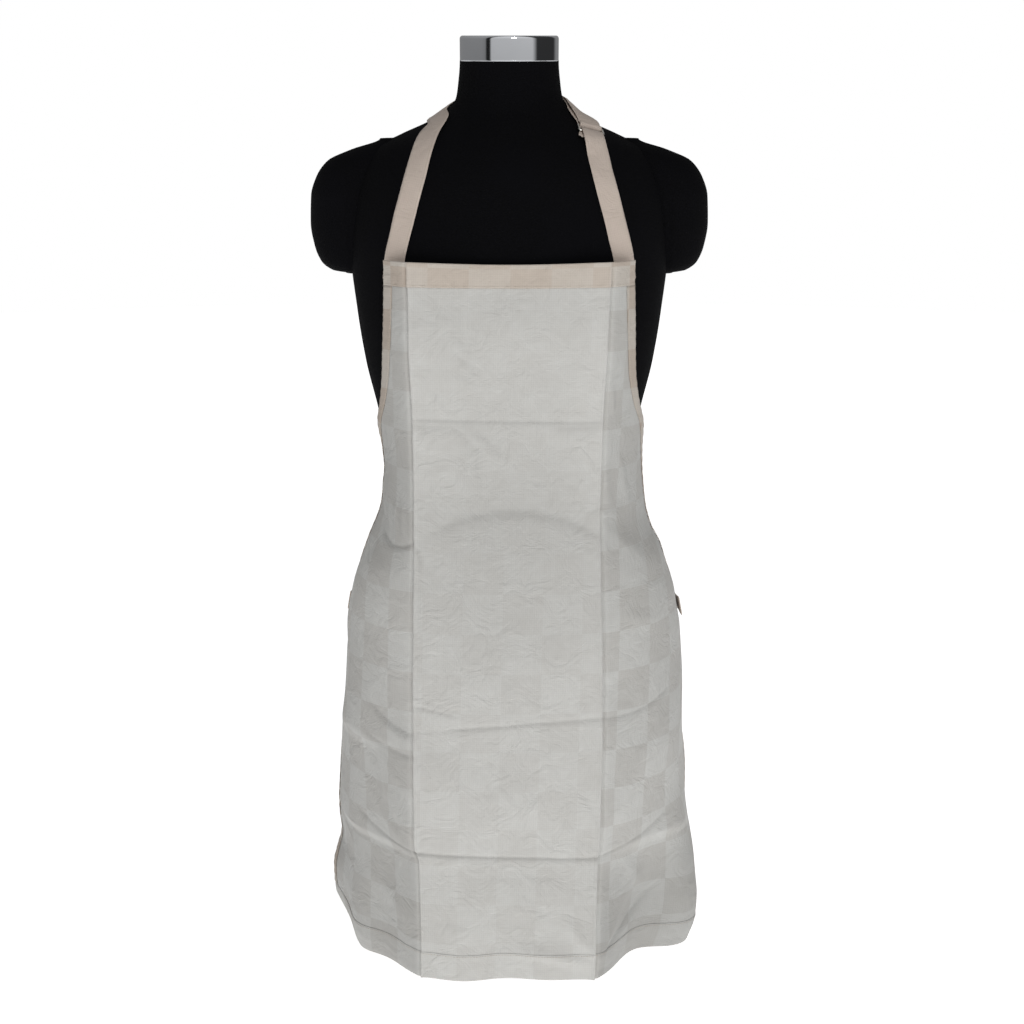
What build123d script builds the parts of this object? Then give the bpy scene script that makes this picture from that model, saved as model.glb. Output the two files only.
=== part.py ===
from build123d import *

import math
import os

# A bib apron worn by a dress form on a short counter stand.
#
# Millimetres, +Z up, front of the form towards -Y. The origin is the middle of the stand's
# underside, on the pole's axis. The form, its jersey, the apron and its straps ride on the pole,
# which slides in the stand's tube and lets the form turn.

# ---------------------------------------------------------------- driving sizes
# stand
pad_radius = 8
pad_thickness = 2
pad_circle_radius = 100
pad_count = 4
base_radius = 120
base_thickness = 6
base_edge = 1.5
tube_radius = 14
tube_wall = 1.5
tube_length = 218
foot_radius = 30
foot_height = 12
foot_round = 4
collar_radius = 20
collar_height = 30
boss_radius = 8
boss_length = 12
bush_flange = 2
bush_length = 36
pole_radius = 11
pole_wall = 1.5
pole_travel = 120
pole_engaged = 186
runner_height = 15
runner_foot = 4
lap = 1
bolt_radius = 4
bolt_head_radius = 8
bolt_head_height = 3
bolt_grip = 18
bolt_socket = 3.2
plug_height = 22
clamp_bore_length = 60
clamp_screw_radius = 3
knob_radius = 17
knob_thickness = 14
knob_lobes = 5
running_gap = 0.1
fitting_gap = 0.05
press_gap = 0.02

# swivel under the form
stop_radius = 17
stop_height = 8
washer_radius = 20
washer_thickness = 2
flange_radius = 40
flange_thickness = 3
socket_wall = 2.3
socket_height = 74
socket_screw_radius = 2
socket_screw_head = 4
socket_screw_circle = 30
socket_screw_length = 14
socket_screw_count = 3
socket_clearance = 4
pole_cap_height = 2
pole_cap_plug = 12

# form
form_bottom = 270
neck_top = 1025
cap_height = 27
cap_wall = 1.2
cap_round = 1.5
jersey_thickness = 1.0
shell_wall = 3.0
board_thickness = 15
board_gap = 1.0
neck_screw_radius = 2.5
neck_screw_grip = 18
neck_head_height = 2
neck_plug_depth = 24
cap_hub_radius = 14
cap_centre_y = 4
ring_points = 24
form_step = 22
cloth_step = 26

# apron and its straps
cloth = 1.6
cloth_gap = 1.2
hem_bottom = 14
bib_top = 819
top_hem_height = 27
bottom_hem_height = 30
side_hem_degrees = 4.5
hem_thickness = 0.8
hem_gap = 0.3
strap_width = 25
strap_thickness = 1.2
tie_width = 22
tie_height = 408
tail_length = 285
tail_width = 11
knot_height = 21
knot_width = 24
knot_depth = 13
strap_bib_x = 121
strap_nape = 984
ring_wire = 1.25
ring_width = 31
ring_length = 13
ring_height = 950
ring_x = 86
ring_outset = 4.2
loop_gap = 0.8
slider_width = 34
slider_length = 24
slider_wall = 3
slider_thickness = 2
slider_bar = 1.0
slider_angle = 152
slider_reach = 30
slider_outset = 11.5
slider_gap = 0.3
slider_post = 4
slider_round = 3

# Stations of the form's outer skin: height, half width, front depth, back depth, squareness.
form_stations = [
    (form_bottom, 172, 104, 104, 2.2),
    (330, 183, 112, 116, 2.2),
    (390, 185, 118, 121, 2.2),
    (440, 177, 119, 112, 2.2),
    (490, 160, 112, 97, 2.2),
    (540, 144, 103, 84, 2.2),
    (590, 140, 98, 79, 2.2),
    (640, 148, 102, 84, 2.3),
    (700, 160, 110, 93, 2.3),
    (760, 169, 117, 102, 2.4),
    (820, 175, 117, 109, 2.4),
    (870, 174, 110, 111, 2.3),
    (905, 166, 101, 108, 2.2),
    (930, 150, 88, 101, 2.1),
    (947, 120, 76, 92, 2.1),
    (960, 92, 66, 81, 2.0),
    (972, 73, 58, 71, 2.0),
    (985, 61, 52, 64, 2.0),
    (1000, 56, 50, 61, 2.0),
    (neck_top, 54, 49, 59, 2.0),
]

# Stations of an arm stub: height, inner reach, outer reach, half depth.
arm_stations = [
    (795, 162, 182, 14),
    (799, 150, 198, 30),
    (808, 140, 209, 39),
    (825, 132, 216, 44),
    (850, 128, 220, 47),
    (880, 126, 219, 47),
    (900, 124, 213, 44),
    (918, 120, 200, 37),
    (930, 112, 178, 27),
    (942, 104, 146, 15),
]
arm_centre_y = 4

# Stations of the cloth: height, half width, front depth, centre y, squareness, edge angle.
apron_stations = [
    (hem_bottom, 214, 150, 0, 2.1, 99),
    (60, 215, 150, 0, 2.1, 99),
    (110, 211, 148, 0, 2.1, 100),
    (170, 206, 145, 0, 2.1, 102),
    (240, 199, 141, 0, 2.2, 105),
    (310, 195, 136, 0, 2.2, 108),
    (370, 193, 131, 0, 2.2, 110),
    (tie_height + tie_width / 2, 190, 128, -1, 2.2, 111),
    (445, 182, 124, -4, 2.2, 97),
    (490, 166, 118, -7, 2.2, 90),
    (540, 150, 109, -9, 2.2, 87),
    (590, 146, 104, -9, 2.2, 82),
    (640, 153, 107, -9, 2.3, 66),
    (700, 165, 115, -8, 2.3, 57),
    (760, 175, 122, -7, 2.4, 50),
    (bib_top, 181, 123, -4, 2.4, 45.5),
]


# ---------------------------------------------------------------- shared formulas
def between(stations, height):
    """The stations' values at a height, on a smooth curve that never overshoots a station."""
    count = len(stations)
    heights = [station[0] for station in stations]
    height = min(max(height, heights[0]), heights[-1])
    low = max(i for i in range(count - 1) if heights[i] <= height)
    span = heights[low + 1] - heights[low]
    t = (height - heights[low]) / span

    def slope(i, k):
        if i in (0, count - 1):
            return 0.0
        before = (stations[i][k] - stations[i - 1][k]) / (heights[i] - heights[i - 1])
        after = (stations[i + 1][k] - stations[i][k]) / (heights[i + 1] - heights[i])
        return 0.0 if before * after <= 0 else 2 * before * after / (before + after)

    def value(k):
        a, b = stations[low][k], stations[low + 1][k]
        return (
            a * (1 + 2 * t) * (1 - t) ** 2
            + b * t * t * (3 - 2 * t)
            + span * slope(low, k) * t * (1 - t) ** 2
            - span * slope(low + 1, k) * t * t * (1 - t)
        )

    return [value(k) for k in range(1, len(stations[0]))]


def power(value, exponent):
    return math.copysign(abs(value) ** exponent, value)


def skin_point(height, angle, outset=0.0):
    """A point of the form's skin at an angle in degrees, from the front towards +X, moved outwards."""
    half, front, back, square = between(form_stations, height)
    c, s = math.cos(math.radians(angle)), math.sin(math.radians(angle))
    middle, depth = (back - front) / 2, (back + front) / 2
    x = (half + outset) * power(s, 2 / square)
    y = middle - (depth + outset) * power(c, 2 / square)
    return Vector(x, y, height)


def skin_angle(x, height):
    """The angle at which the skin's front has a given x."""
    half, _, _, square = between(form_stations, height)
    return math.degrees(math.asin(min(1.0, abs(x) / half) ** (square / 2)))


def apron_point(height, angle, outset=0.0):
    """A point of the cloth's outer face at an angle in degrees, from the front towards +X."""
    half, front, centre, square, _ = between(apron_stations, height)
    c, s = math.cos(math.radians(angle)), math.sin(math.radians(angle))
    x = (half + outset) * power(s, 2 / square)
    y = centre - (front + centre + outset) * power(c, 2 / square)
    return Vector(x, y, height)


def ring_sketch(height, inset):
    """A closed oval face of the form at a height, inset from the skin."""
    points = [skin_point(height, 360 * i / ring_points, -inset) for i in range(ring_points)]
    with BuildSketch(Plane.XY.offset(height)) as section:
        with BuildLine():
            Spline(*[(p.X, p.Y) for p in points], periodic=True)
        make_face()
    return section.sketch


def levels(bottom, top, step):
    """Evenly spaced heights from bottom to top, about a step apart."""
    count = max(1, round((top - bottom) / step))
    return [bottom + (top - bottom) * i / count for i in range(count + 1)]


def form_body(inset, bottom, top):
    """A solid loft through the form's ovals between two heights."""
    with BuildPart() as body:
        loft([ring_sketch(height, inset) for height in levels(bottom, top, form_step)])
    return body.part


def cloth_sketch(height, outer, inner, first, last):
    """A band of the cloth at a height: two concentric arcs between two angles, closed at both ends."""
    steps = 16 if last - first > 20 else 3
    angles = [first + (last - first) * i / steps for i in range(steps + 1)]
    out = [apron_point(height, a, outer) for a in angles]
    back = [apron_point(height, a, inner) for a in reversed(angles)]
    with BuildSketch(Plane.XY.offset(height)) as section:
        with BuildLine():
            Spline(*[(p.X, p.Y) for p in out])
            Line((out[-1].X, out[-1].Y), (back[0].X, back[0].Y))
            Spline(*[(p.X, p.Y) for p in back])
            Line((back[-1].X, back[-1].Y), (out[0].X, out[0].Y))
        make_face()
    return section.sketch


def skin_normal(height, angle):
    """The skin's outward direction at a point."""
    along = skin_point(height, angle + 1) - skin_point(height, angle - 1)
    up = skin_point(height + 2, angle) - skin_point(height - 2, angle)
    return along.cross(up).normalized()


def on_skin(*stops):
    """Path stops, each a point off the skin and the skin's outward direction."""
    return [(skin_point(h, a, 0) + skin_normal(h, a) * off, skin_normal(h, a)) for h, a, off in stops]


def ribbon(stops, width, thickness=strap_thickness):
    """A flat band along stops, each a point and the direction its face looks."""
    sections = []
    for i, (point, normal) in enumerate(stops):
        ahead = stops[min(i + 1, len(stops) - 1)][0] - stops[max(i - 1, 0)][0]
        across = ahead.cross(normal)
        with BuildSketch(Plane(origin=point, x_dir=across, z_dir=ahead)) as section:
            Rectangle(width, thickness)
        sections.append(section.sketch)
    with BuildPart() as band:
        loft(sections, ruled=True)
    return band.part


def cloth_band(bottom, top, outer, inner, edge_only=None):
    """A layer of the cloth between two heights, whole or only along one side's edge."""
    sections = []
    for height in levels(bottom, top, cloth_step):
        edge = between(apron_stations, height)[-1]
        first = -edge
        last = edge
        if edge_only:
            first, last = sorted((edge_only * edge, edge_only * (edge - side_hem_degrees)))
        sections.append(cloth_sketch(height, outer, inner, first, last))
    with BuildPart() as layer:
        loft(sections, ruled=True)
    return layer.part


def arm_body(side, inset):
    """A solid stub of the upper arm, ovals stacked between its stations."""
    sections = []
    for i, (height, inner, outer, depth) in enumerate(arm_stations):
        height += inset if i == 0 else 0
        height -= inset if i == len(arm_stations) - 1 else 0
        middle = side * (inner + outer) / 2
        with BuildSketch(Plane.XY.offset(height)) as section:
            with Locations((middle, arm_centre_y)):
                Ellipse((outer - inner) / 2 - inset, depth - inset)
        sections.append(section.sketch)
    with BuildPart() as stub:
        loft(sections)
    return stub.part


def save(piece, label):
    piece.label = label
    export_step(piece, f"parts/{label}.step")


os.makedirs("parts", exist_ok=True)


# ---------------------------------------------------------------- stand
plate_bottom = pad_thickness
plate_top = plate_bottom + base_thickness
tube_top = plate_top + tube_length
pole_bottom = tube_top + bush_flange - pole_engaged
washer_top = form_bottom - flange_thickness - running_gap
stop_top = washer_top - washer_thickness
pole_top = form_bottom + socket_height - flange_thickness - socket_clearance
clamp_height = tube_top - collar_height / 2

with BuildPart() as base_plate:
    with BuildSketch(Plane.XY.offset(plate_bottom)):
        Circle(base_radius)
        Circle(bolt_radius + running_gap, mode=Mode.SUBTRACT)
    extrude(amount=base_thickness)
    rims = base_plate.edges().filter_by(GeomType.CIRCLE).filter_by(lambda e: e.radius > base_radius - 1)
    fillet(rims, base_edge)
    with BuildSketch(Plane.XY.offset(plate_bottom)):
        Circle(bolt_head_radius + running_gap)
    extrude(amount=bolt_head_height + running_gap, mode=Mode.SUBTRACT)
save(base_plate.part, "base_plate")

for number in range(pad_count):
    turn = math.radians(45 + 360 * number / pad_count)
    with BuildPart() as pad:
        with BuildSketch():
            with Locations((pad_circle_radius * math.cos(turn), pad_circle_radius * math.sin(turn))):
                Circle(pad_radius)
        extrude(amount=pad_thickness)
    save(pad.part, f"rubber_pad_{number + 1}")

with BuildPart() as centre_pad:
    with BuildSketch():
        Circle(bolt_head_radius + 4)
    extrude(amount=pad_thickness)
save(centre_pad.part, "rubber_pad_centre")

with BuildPart() as tube_foot:
    with BuildSketch(Plane.XY.offset(plate_top)):
        Circle(foot_radius)
        Circle(tube_radius + fitting_gap, mode=Mode.SUBTRACT)
    extrude(amount=foot_height)
    upper = tube_foot.edges().filter_by(GeomType.CIRCLE).group_by(Axis.Z)[-1]
    fillet(upper.sort_by(SortBy.RADIUS)[-1], foot_round)
save(tube_foot.part, "tube_foot")

clamp_bore = Pos(0, 0, clamp_height) * Rot(-90, 0, 0) * Cylinder(
    clamp_screw_radius + running_gap, clamp_bore_length, align=(Align.CENTER, Align.CENTER, Align.MIN)
)

with BuildPart() as stand_tube:
    with BuildSketch(Plane.XY.offset(plate_top)):
        Circle(tube_radius)
        Circle(tube_radius - tube_wall, mode=Mode.SUBTRACT)
    extrude(amount=tube_length)
    add(clamp_bore, mode=Mode.SUBTRACT)
save(stand_tube.part, "stand_tube")

with BuildPart() as tube_plug:
    with BuildSketch(Plane.XY.offset(plate_top)):
        Circle(tube_radius - tube_wall - fitting_gap)
        Circle(bolt_radius + fitting_gap, mode=Mode.SUBTRACT)
    extrude(amount=plug_height)
save(tube_plug.part, "tube_plug")

with BuildPart() as base_bolt:
    with BuildSketch(Plane.XY.offset(plate_bottom)):
        Circle(bolt_head_radius)
        RegularPolygon(bolt_socket, 6, mode=Mode.SUBTRACT)
    extrude(amount=bolt_head_height)
    with BuildSketch(Plane.XY.offset(plate_bottom + lap)):
        Circle(bolt_radius)
    extrude(amount=bolt_grip + lap)
save(base_bolt.part, "base_bolt")

with BuildPart() as tube_bush:
    with BuildSketch(Plane.XY.offset(tube_top)):
        Circle(tube_radius)
    extrude(amount=bush_flange)
    with BuildSketch(Plane.XY.offset(tube_top)):
        Circle(tube_radius - tube_wall - fitting_gap)
    extrude(amount=-bush_length)
    with BuildSketch(Plane.XY.offset(tube_top - bush_length)):
        Circle(pole_radius + fitting_gap)
    extrude(amount=bush_length + bush_flange, mode=Mode.SUBTRACT)
    add(clamp_bore, mode=Mode.SUBTRACT)
save(tube_bush.part, "tube_bush")

with BuildPart() as clamp_collar:
    with BuildSketch(Plane.XY.offset(tube_top - collar_height)):
        Circle(collar_radius)
    extrude(amount=collar_height)
    fillet(clamp_collar.edges().filter_by(GeomType.CIRCLE), 2)
    with BuildSketch(Plane.XZ.offset(-collar_radius - boss_length)):
        with Locations((0, clamp_height)):
            Circle(boss_radius)
    extrude(amount=boss_length + 8)
    with BuildSketch(Plane.XY.offset(tube_top - collar_height)):
        Circle(tube_radius + fitting_gap)
    extrude(amount=collar_height, mode=Mode.SUBTRACT)
    add(clamp_bore, mode=Mode.SUBTRACT)
save(clamp_collar.part, "clamp_collar")

# ---------------------------------------------------------------- clamp knob
knob_face = collar_radius + boss_length + 1
screw_tip = pole_radius + 0.3

with BuildPart() as clamp_screw:
    with BuildSketch(Plane.XZ.offset(-screw_tip)):
        with Locations((0, clamp_height)):
            Circle(clamp_screw_radius)
    extrude(amount=-(knob_face + knob_thickness / 2 - screw_tip))
save(clamp_screw.part, "clamp_screw")

with BuildPart() as clamp_knob:
    with BuildSketch(Plane.XZ.offset(-knob_face)):
        with Locations((0, clamp_height)):
            Circle(knob_radius * 0.82)
            with PolarLocations(knob_radius * 0.72, knob_lobes):
                Circle(knob_radius * 0.28)
    extrude(amount=-knob_thickness)
    fillet(clamp_knob.faces().sort_by(Axis.Y)[-1].edges(), 1.5)
    with BuildSketch(Plane.XZ.offset(-knob_face)):
        with Locations((0, clamp_height)):
            Circle(clamp_screw_radius + press_gap)
    extrude(amount=-(knob_thickness / 2 + press_gap), mode=Mode.SUBTRACT)
save(clamp_knob.part, "clamp_knob")

# ---------------------------------------------------------------- pole
with BuildPart() as pole:
    with BuildSketch(Plane.XY.offset(pole_bottom)):
        Circle(pole_radius)
        Circle(pole_radius - pole_wall, mode=Mode.SUBTRACT)
    extrude(amount=pole_top - pole_bottom)
save(pole.part, "pole")

with BuildPart() as pole_runner:
    with BuildSketch(Plane.XY.offset(pole_bottom - runner_foot)):
        Circle(tube_radius - tube_wall - fitting_gap)
    extrude(amount=runner_foot - fitting_gap)
    with BuildSketch(Plane.XY.offset(pole_bottom - lap)):
        Circle(pole_radius - pole_wall - fitting_gap)
    extrude(amount=runner_height)
    chamfer(pole_runner.edges().group_by(Axis.Z)[0], 0.8)
save(pole_runner.part, "pole_runner")

with BuildPart() as pole_stop:
    with BuildSketch(Plane.XY.offset(stop_top)):
        Circle(stop_radius)
        Circle(pole_radius + press_gap, mode=Mode.SUBTRACT)
    extrude(amount=-stop_height)
    fillet(pole_stop.edges().group_by(Axis.Z)[0].sort_by(SortBy.RADIUS)[-1], 1.5)
save(pole_stop.part, "pole_stop")

with BuildPart() as thrust_washer:
    with BuildSketch(Plane.XY.offset(stop_top)):
        Circle(washer_radius)
        Circle(pole_radius + fitting_gap, mode=Mode.SUBTRACT)
    extrude(amount=washer_thickness)
save(thrust_washer.part, "thrust_washer")

with BuildPart() as pole_cap:
    with BuildSketch(Plane.XY.offset(pole_top)):
        Circle(pole_radius)
    extrude(amount=pole_cap_height)
    with BuildSketch(Plane.XY.offset(pole_top)):
        Circle(pole_radius - pole_wall - fitting_gap)
    extrude(amount=-pole_cap_plug)
    chamfer(pole_cap.edges().group_by(Axis.Z)[-1], 0.8)
save(pole_cap.part, "pole_cap")

# ---------------------------------------------------------------- socket and board under the form
flange_bottom = form_bottom - flange_thickness

with BuildPart() as swivel_socket:
    with BuildSketch(Plane.XY.offset(flange_bottom)):
        Circle(flange_radius)
        with PolarLocations(socket_screw_circle, socket_screw_count, start_angle=90):
            Circle(socket_screw_radius + running_gap, mode=Mode.SUBTRACT)
    extrude(amount=flange_thickness)
    with BuildSketch(Plane.XY.offset(flange_bottom)):
        Circle(pole_radius + fitting_gap + socket_wall)
    extrude(amount=socket_height)
    with BuildSketch(Plane.XY.offset(flange_bottom)):
        Circle(pole_radius + fitting_gap)
    extrude(amount=socket_height, mode=Mode.SUBTRACT)
save(swivel_socket.part, "swivel_socket")

shell_outer = form_body(jersey_thickness, form_bottom, neck_top)
form_outer = form_body(0, form_bottom, neck_top)

with BuildPart() as base_board:
    with BuildSketch(Plane.XY.offset(form_bottom)):
        add(ring_sketch(form_bottom, jersey_thickness + shell_wall + board_gap).moved(Pos(0, 0, -form_bottom)))
        Circle(pole_radius + fitting_gap + socket_wall + fitting_gap, mode=Mode.SUBTRACT)
    extrude(amount=board_thickness)
    with BuildSketch(Plane.XY.offset(form_bottom)):
        with PolarLocations(socket_screw_circle, socket_screw_count, start_angle=90):
            Circle(socket_screw_radius + press_gap)
    extrude(amount=socket_screw_length, mode=Mode.SUBTRACT)
save(base_board.part, "base_board")

for number in range(socket_screw_count):
    turn = math.radians(90 + 360 * number / socket_screw_count)
    x, y = socket_screw_circle * math.cos(turn), socket_screw_circle * math.sin(turn)
    with BuildPart() as socket_screw:
        with BuildSketch(Plane.XY.offset(flange_bottom)):
            with Locations((x, y)):
                Circle(socket_screw_head)
        extrude(amount=-2)
        with BuildSketch(Plane.XY.offset(flange_bottom - lap)):
            with Locations((x, y)):
                Circle(socket_screw_radius)
        extrude(amount=socket_screw_length)
    save(socket_screw.part, f"socket_screw_{number + 1}")

# ---------------------------------------------------------------- form
with BuildPart() as torso_shell:
    add(shell_outer)
    add(form_body(jersey_thickness + shell_wall, form_bottom - lap, neck_top + lap), mode=Mode.SUBTRACT)
save(torso_shell.part, "torso_shell")

with BuildPart() as torso_jersey:
    add(form_outer)
    add(shell_outer, mode=Mode.SUBTRACT)
save(torso_jersey.part, "torso_jersey")

for side, label in ((-1, "left"), (1, "right")):
    with BuildPart() as arm_stub:
        add(arm_body(side, jersey_thickness + fitting_gap))
        add(form_outer, mode=Mode.SUBTRACT)
    save(arm_stub.part.solids().sort_by(SortBy.VOLUME)[-1], f"arm_stub_{label}")
    with BuildPart() as sleeve:
        add(arm_body(side, 0))
        add(arm_body(side, jersey_thickness), mode=Mode.SUBTRACT)
        add(form_outer, mode=Mode.SUBTRACT)
    save(sleeve.part.solids().sort_by(SortBy.VOLUME)[-1], f"sleeve_{label}")

with BuildPart() as neck_plug:
    with BuildSketch(Plane.XY.offset(neck_top)):
        add(ring_sketch(neck_top, jersey_thickness + shell_wall + board_gap).moved(Pos(0, 0, -neck_top)))
        Circle(neck_screw_radius + running_gap, mode=Mode.SUBTRACT)
    extrude(amount=-neck_plug_depth)
save(neck_plug.part, "neck_plug")

cap_radius = form_stations[-1][1]
with BuildPart() as neck_cap:
    with BuildSketch(Plane.XY.offset(neck_top)):
        with Locations((0, cap_centre_y)):
            Circle(cap_radius)
    extrude(amount=cap_height)
    fillet(neck_cap.edges().group_by(Axis.Z)[-1], cap_round)
    with BuildSketch(Plane.XY.offset(neck_top)):
        with Locations((0, cap_centre_y)):
            Circle(cap_radius - cap_wall)
        Circle(cap_hub_radius, mode=Mode.SUBTRACT)
    extrude(amount=cap_height - cap_wall, mode=Mode.SUBTRACT)
    with BuildSketch(Plane.XY.offset(neck_top)):
        Circle(neck_screw_radius + press_gap)
    extrude(amount=neck_screw_grip, mode=Mode.SUBTRACT)
save(neck_cap.part, "neck_cap")

with BuildPart() as neck_screw:
    with BuildSketch(Plane.XY.offset(neck_top - neck_plug_depth - neck_head_height)):
        Circle(neck_screw_radius * 2)
    extrude(amount=neck_head_height)
    with BuildSketch(Plane.XY.offset(neck_top - neck_plug_depth - lap)):
        Circle(neck_screw_radius)
    extrude(amount=neck_plug_depth + neck_screw_grip)
save(neck_screw.part, "neck_screw")

# ---------------------------------------------------------------- apron
save(cloth_band(hem_bottom, bib_top, 0, -cloth), "apron_panel")
hem_layer = (hem_gap + hem_thickness, hem_gap)
save(cloth_band(bib_top - top_hem_height, bib_top, *hem_layer), "top_hem")
save(cloth_band(hem_bottom, hem_bottom + bottom_hem_height, *hem_layer), "bottom_hem")
for side, label in ((-1, "left"), (1, "right")):
    low, high = hem_bottom + bottom_hem_height + hem_gap, bib_top - top_hem_height - hem_gap
    save(cloth_band(low, high, *hem_layer, edge_only=side), f"side_hem_{label}")

# ---------------------------------------------------------------- strap ring and slider
def up_chest(side, height, x, off):
    return (height, side * skin_angle(x, height), off)


ring_stop = up_chest(1, ring_height, ring_x, ring_outset)
(ring_centre, ring_face), = on_skin(ring_stop)
below = on_skin(up_chest(1, ring_height - 15, ring_x + 4.5, ring_outset))[0][0]
above = on_skin(up_chest(1, ring_height + 13, ring_x - 6, ring_outset))[0][0]
ring_up = (above - below).normalized()
ring_across = ring_up.cross(ring_face).normalized()
ring_face = ring_across.cross(ring_up).normalized()
bar_offset = ring_length / 2 - ring_wire
upper_bar = ring_centre + ring_up * bar_offset
lower_bar = ring_centre - ring_up * bar_offset

with BuildPart() as strap_ring:
    with BuildLine(Plane(origin=ring_centre, x_dir=ring_across, z_dir=ring_face)) as outline:
        half_w, half_l = ring_width / 2 - ring_wire, bar_offset
        corners = [(-half_w, -half_l), (half_w, -half_l), (half_w, half_l), (-half_w, half_l)]
        FilletPolyline(*corners, radius=2 * ring_wire, close=True)
    with BuildSketch(Plane(origin=outline.line @ 0, z_dir=outline.line % 0)):
        Circle(ring_wire)
    sweep()
save(strap_ring.part, "strap_ring")


def cloth_loop(centre, across, inner, length, face):
    """A short tube of strap wrapped round a bar."""
    with BuildPart() as loop:
        with BuildSketch(Plane(origin=centre - across * (length / 2), x_dir=face, z_dir=across)):
            Circle(inner + strap_thickness)
            Circle(inner, mode=Mode.SUBTRACT)
        extrude(amount=length)
    return loop.part


turn_inner = ring_wire + loop_gap
turn_middle = turn_inner + strap_thickness / 2
save(cloth_loop(upper_bar, ring_across, turn_inner, strap_width, ring_face), "strap_turn")
save(cloth_loop(lower_bar, ring_across, turn_inner, strap_width, ring_face), "strap_loop")

slider_stop = (strap_nape, slider_angle, slider_outset)
(slider_centre, slider_face), = on_skin(slider_stop)
slider_along = (skin_point(strap_nape, slider_angle + 1) - skin_point(strap_nape, slider_angle - 1)).normalized()
slider_across = slider_along.cross(slider_face).normalized()
slider_face = slider_across.cross(slider_along).normalized()
slider_rise = strap_thickness / 2 + slider_gap
bar_drop = slider_rise + strap_thickness + slider_gap + slider_bar

with BuildPart() as strap_slider:
    slider_plane = Plane(origin=slider_centre, x_dir=slider_across, z_dir=slider_face)
    with BuildSketch(slider_plane.offset(slider_rise)):
        RectangleRounded(slider_width, slider_length, slider_round)
        Rectangle(slider_width - 2 * slider_wall, slider_length - 2 * slider_wall, mode=Mode.SUBTRACT)
    extrude(amount=slider_thickness)
    rail = (slider_width - slider_wall) / 2
    with BuildSketch(slider_plane.offset(-bar_drop - slider_bar)):
        with Locations((-rail, 0), (rail, 0)):
            Rectangle(slider_wall, slider_post)
    extrude(amount=bar_drop + slider_bar + slider_rise + slider_thickness / 2)
    bar_start = slider_centre - slider_face * bar_drop - slider_across * rail
    with BuildSketch(Plane(origin=bar_start, z_dir=slider_across)):
        Circle(slider_bar)
    extrude(amount=2 * rail)
save(strap_slider.part, "strap_slider")
save(
    cloth_loop(
        slider_centre - slider_face * bar_drop, slider_across, slider_bar + slider_gap, strap_width, slider_face
    ),
    "strap_end",
)

# ---------------------------------------------------------------- neck straps
left_front = [
    up_chest(-1, bib_top - 22, strap_bib_x + 3, 1.2),
    up_chest(-1, bib_top + 4, strap_bib_x, 1.4),
    up_chest(-1, 846, strap_bib_x - 6, 2.0),
    up_chest(-1, 874, strap_bib_x - 13, 2.0),
    up_chest(-1, 903, strap_bib_x - 21, 2.2),
    up_chest(-1, 930, 91, 2.6),
    up_chest(-1, 950, 82, 3.6),
    up_chest(-1, 963, 74, 4.2),
]
left_back = [(971, -84, 4.8), (975, -103, 5), (979, -124, 5), (982, -145, 5), (983, -166, 5), (984, -182, 6)]
slider_path = [(slider_centre + slider_along * (k * slider_reach), slider_face) for k in (1, 0.5, 0, -0.5, -1)]
right_back = [(978, 116, 7.5), (974, 98, 7.2), (970, 82, 7)]
right_front = [up_chest(1, 965, 76, 7)]
layer_start = (turn_inner + strap_thickness) * 0.88
outer_end = [(upper_bar + ring_face * turn_middle + ring_up * k, ring_face) for k in (8, layer_start)]
outer_run = on_skin(*left_front, *left_back) + slider_path + on_skin(*right_back, *right_front) + outer_end
save(ribbon(outer_run, strap_width), "neck_strap_long")

inner_end = [(upper_bar - ring_face * turn_middle + ring_up * k, ring_face) for k in (layer_start, 6)]
inner_stops = [
    up_chest(1, 964, 76, 3.4),
    (970, 82, 3.8),
    (974, 98, 4.2),
    (978, 116, 4.2),
    (981, 130, 3.8),
    (983, 143, 3.5),
    (984, 156, 3.5),
    (984, 168, 3.5),
]
save(ribbon(inner_end + on_skin(*inner_stops), strap_width), "neck_strap_return")

short_stops = [
    up_chest(1, bib_top - 22, strap_bib_x + 3, 1.2),
    up_chest(1, bib_top + 4, strap_bib_x, 1.4),
    up_chest(1, 846, strap_bib_x - 6, 2.0),
    up_chest(1, 874, strap_bib_x - 13, 2.0),
    up_chest(1, 903, strap_bib_x - 21, 2.2),
    up_chest(1, 926, 94, 2.6),
]
short_end = [(lower_bar - ring_up * k, ring_face) for k in (12, turn_inner + strap_thickness + 0.1)]
save(ribbon(on_skin(*short_stops) + short_end, strap_width), "neck_strap_short")

# ---------------------------------------------------------------- waist ties and bow
knot_y = skin_point(tie_height, 180).Y + 3 + knot_depth / 2
for side, label in ((-1, "left"), (1, "right")):
    stops = on_skin(*[(tie_height, side * angle, 3) for angle in (105, 117, 129, 141, 153, 165, 174)])
    save(ribbon(stops, tie_width), f"waist_tie_{label}")
    loop_points = [(13, 4, 0), (50, 8, -5), (80, 8, -12), (88, 3, -15), (81, -2, -15), (50, -3, -10), (13, -3, -4)]
    loop_stops = []
    for i, (x, y, z) in enumerate(loop_points):
        before, after = loop_points[max(i - 1, 0)], loop_points[min(i + 1, len(loop_points) - 1)]
        face = Vector(-(after[1] - before[1]), after[0] - before[0], 0).normalized()
        face = Vector(side * face.X, face.Y, 0)
        loop_stops.append((Vector(side * x, knot_y + y, tie_height + z), face))
    save(ribbon(loop_stops, tie_width), f"bow_loop_{label}")
    fall = [(7, 1.5, 11), (13, 2, 60), (18, 1, 130), (22, 0, 200), (24, 0, tail_length)]
    tail_stops = [(Vector(side * x, knot_y + y, tie_height - z), Vector(0, 1, 0)) for x, y, z in fall]
    save(ribbon(tail_stops, tail_width), f"bow_tail_{label}")

with BuildPart() as bow_knot:
    with Locations((0, knot_y, tie_height)):
        Box(knot_width, knot_depth, knot_height)
    fillet(bow_knot.edges(), 4)
save(bow_knot.part, "bow_knot")
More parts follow.
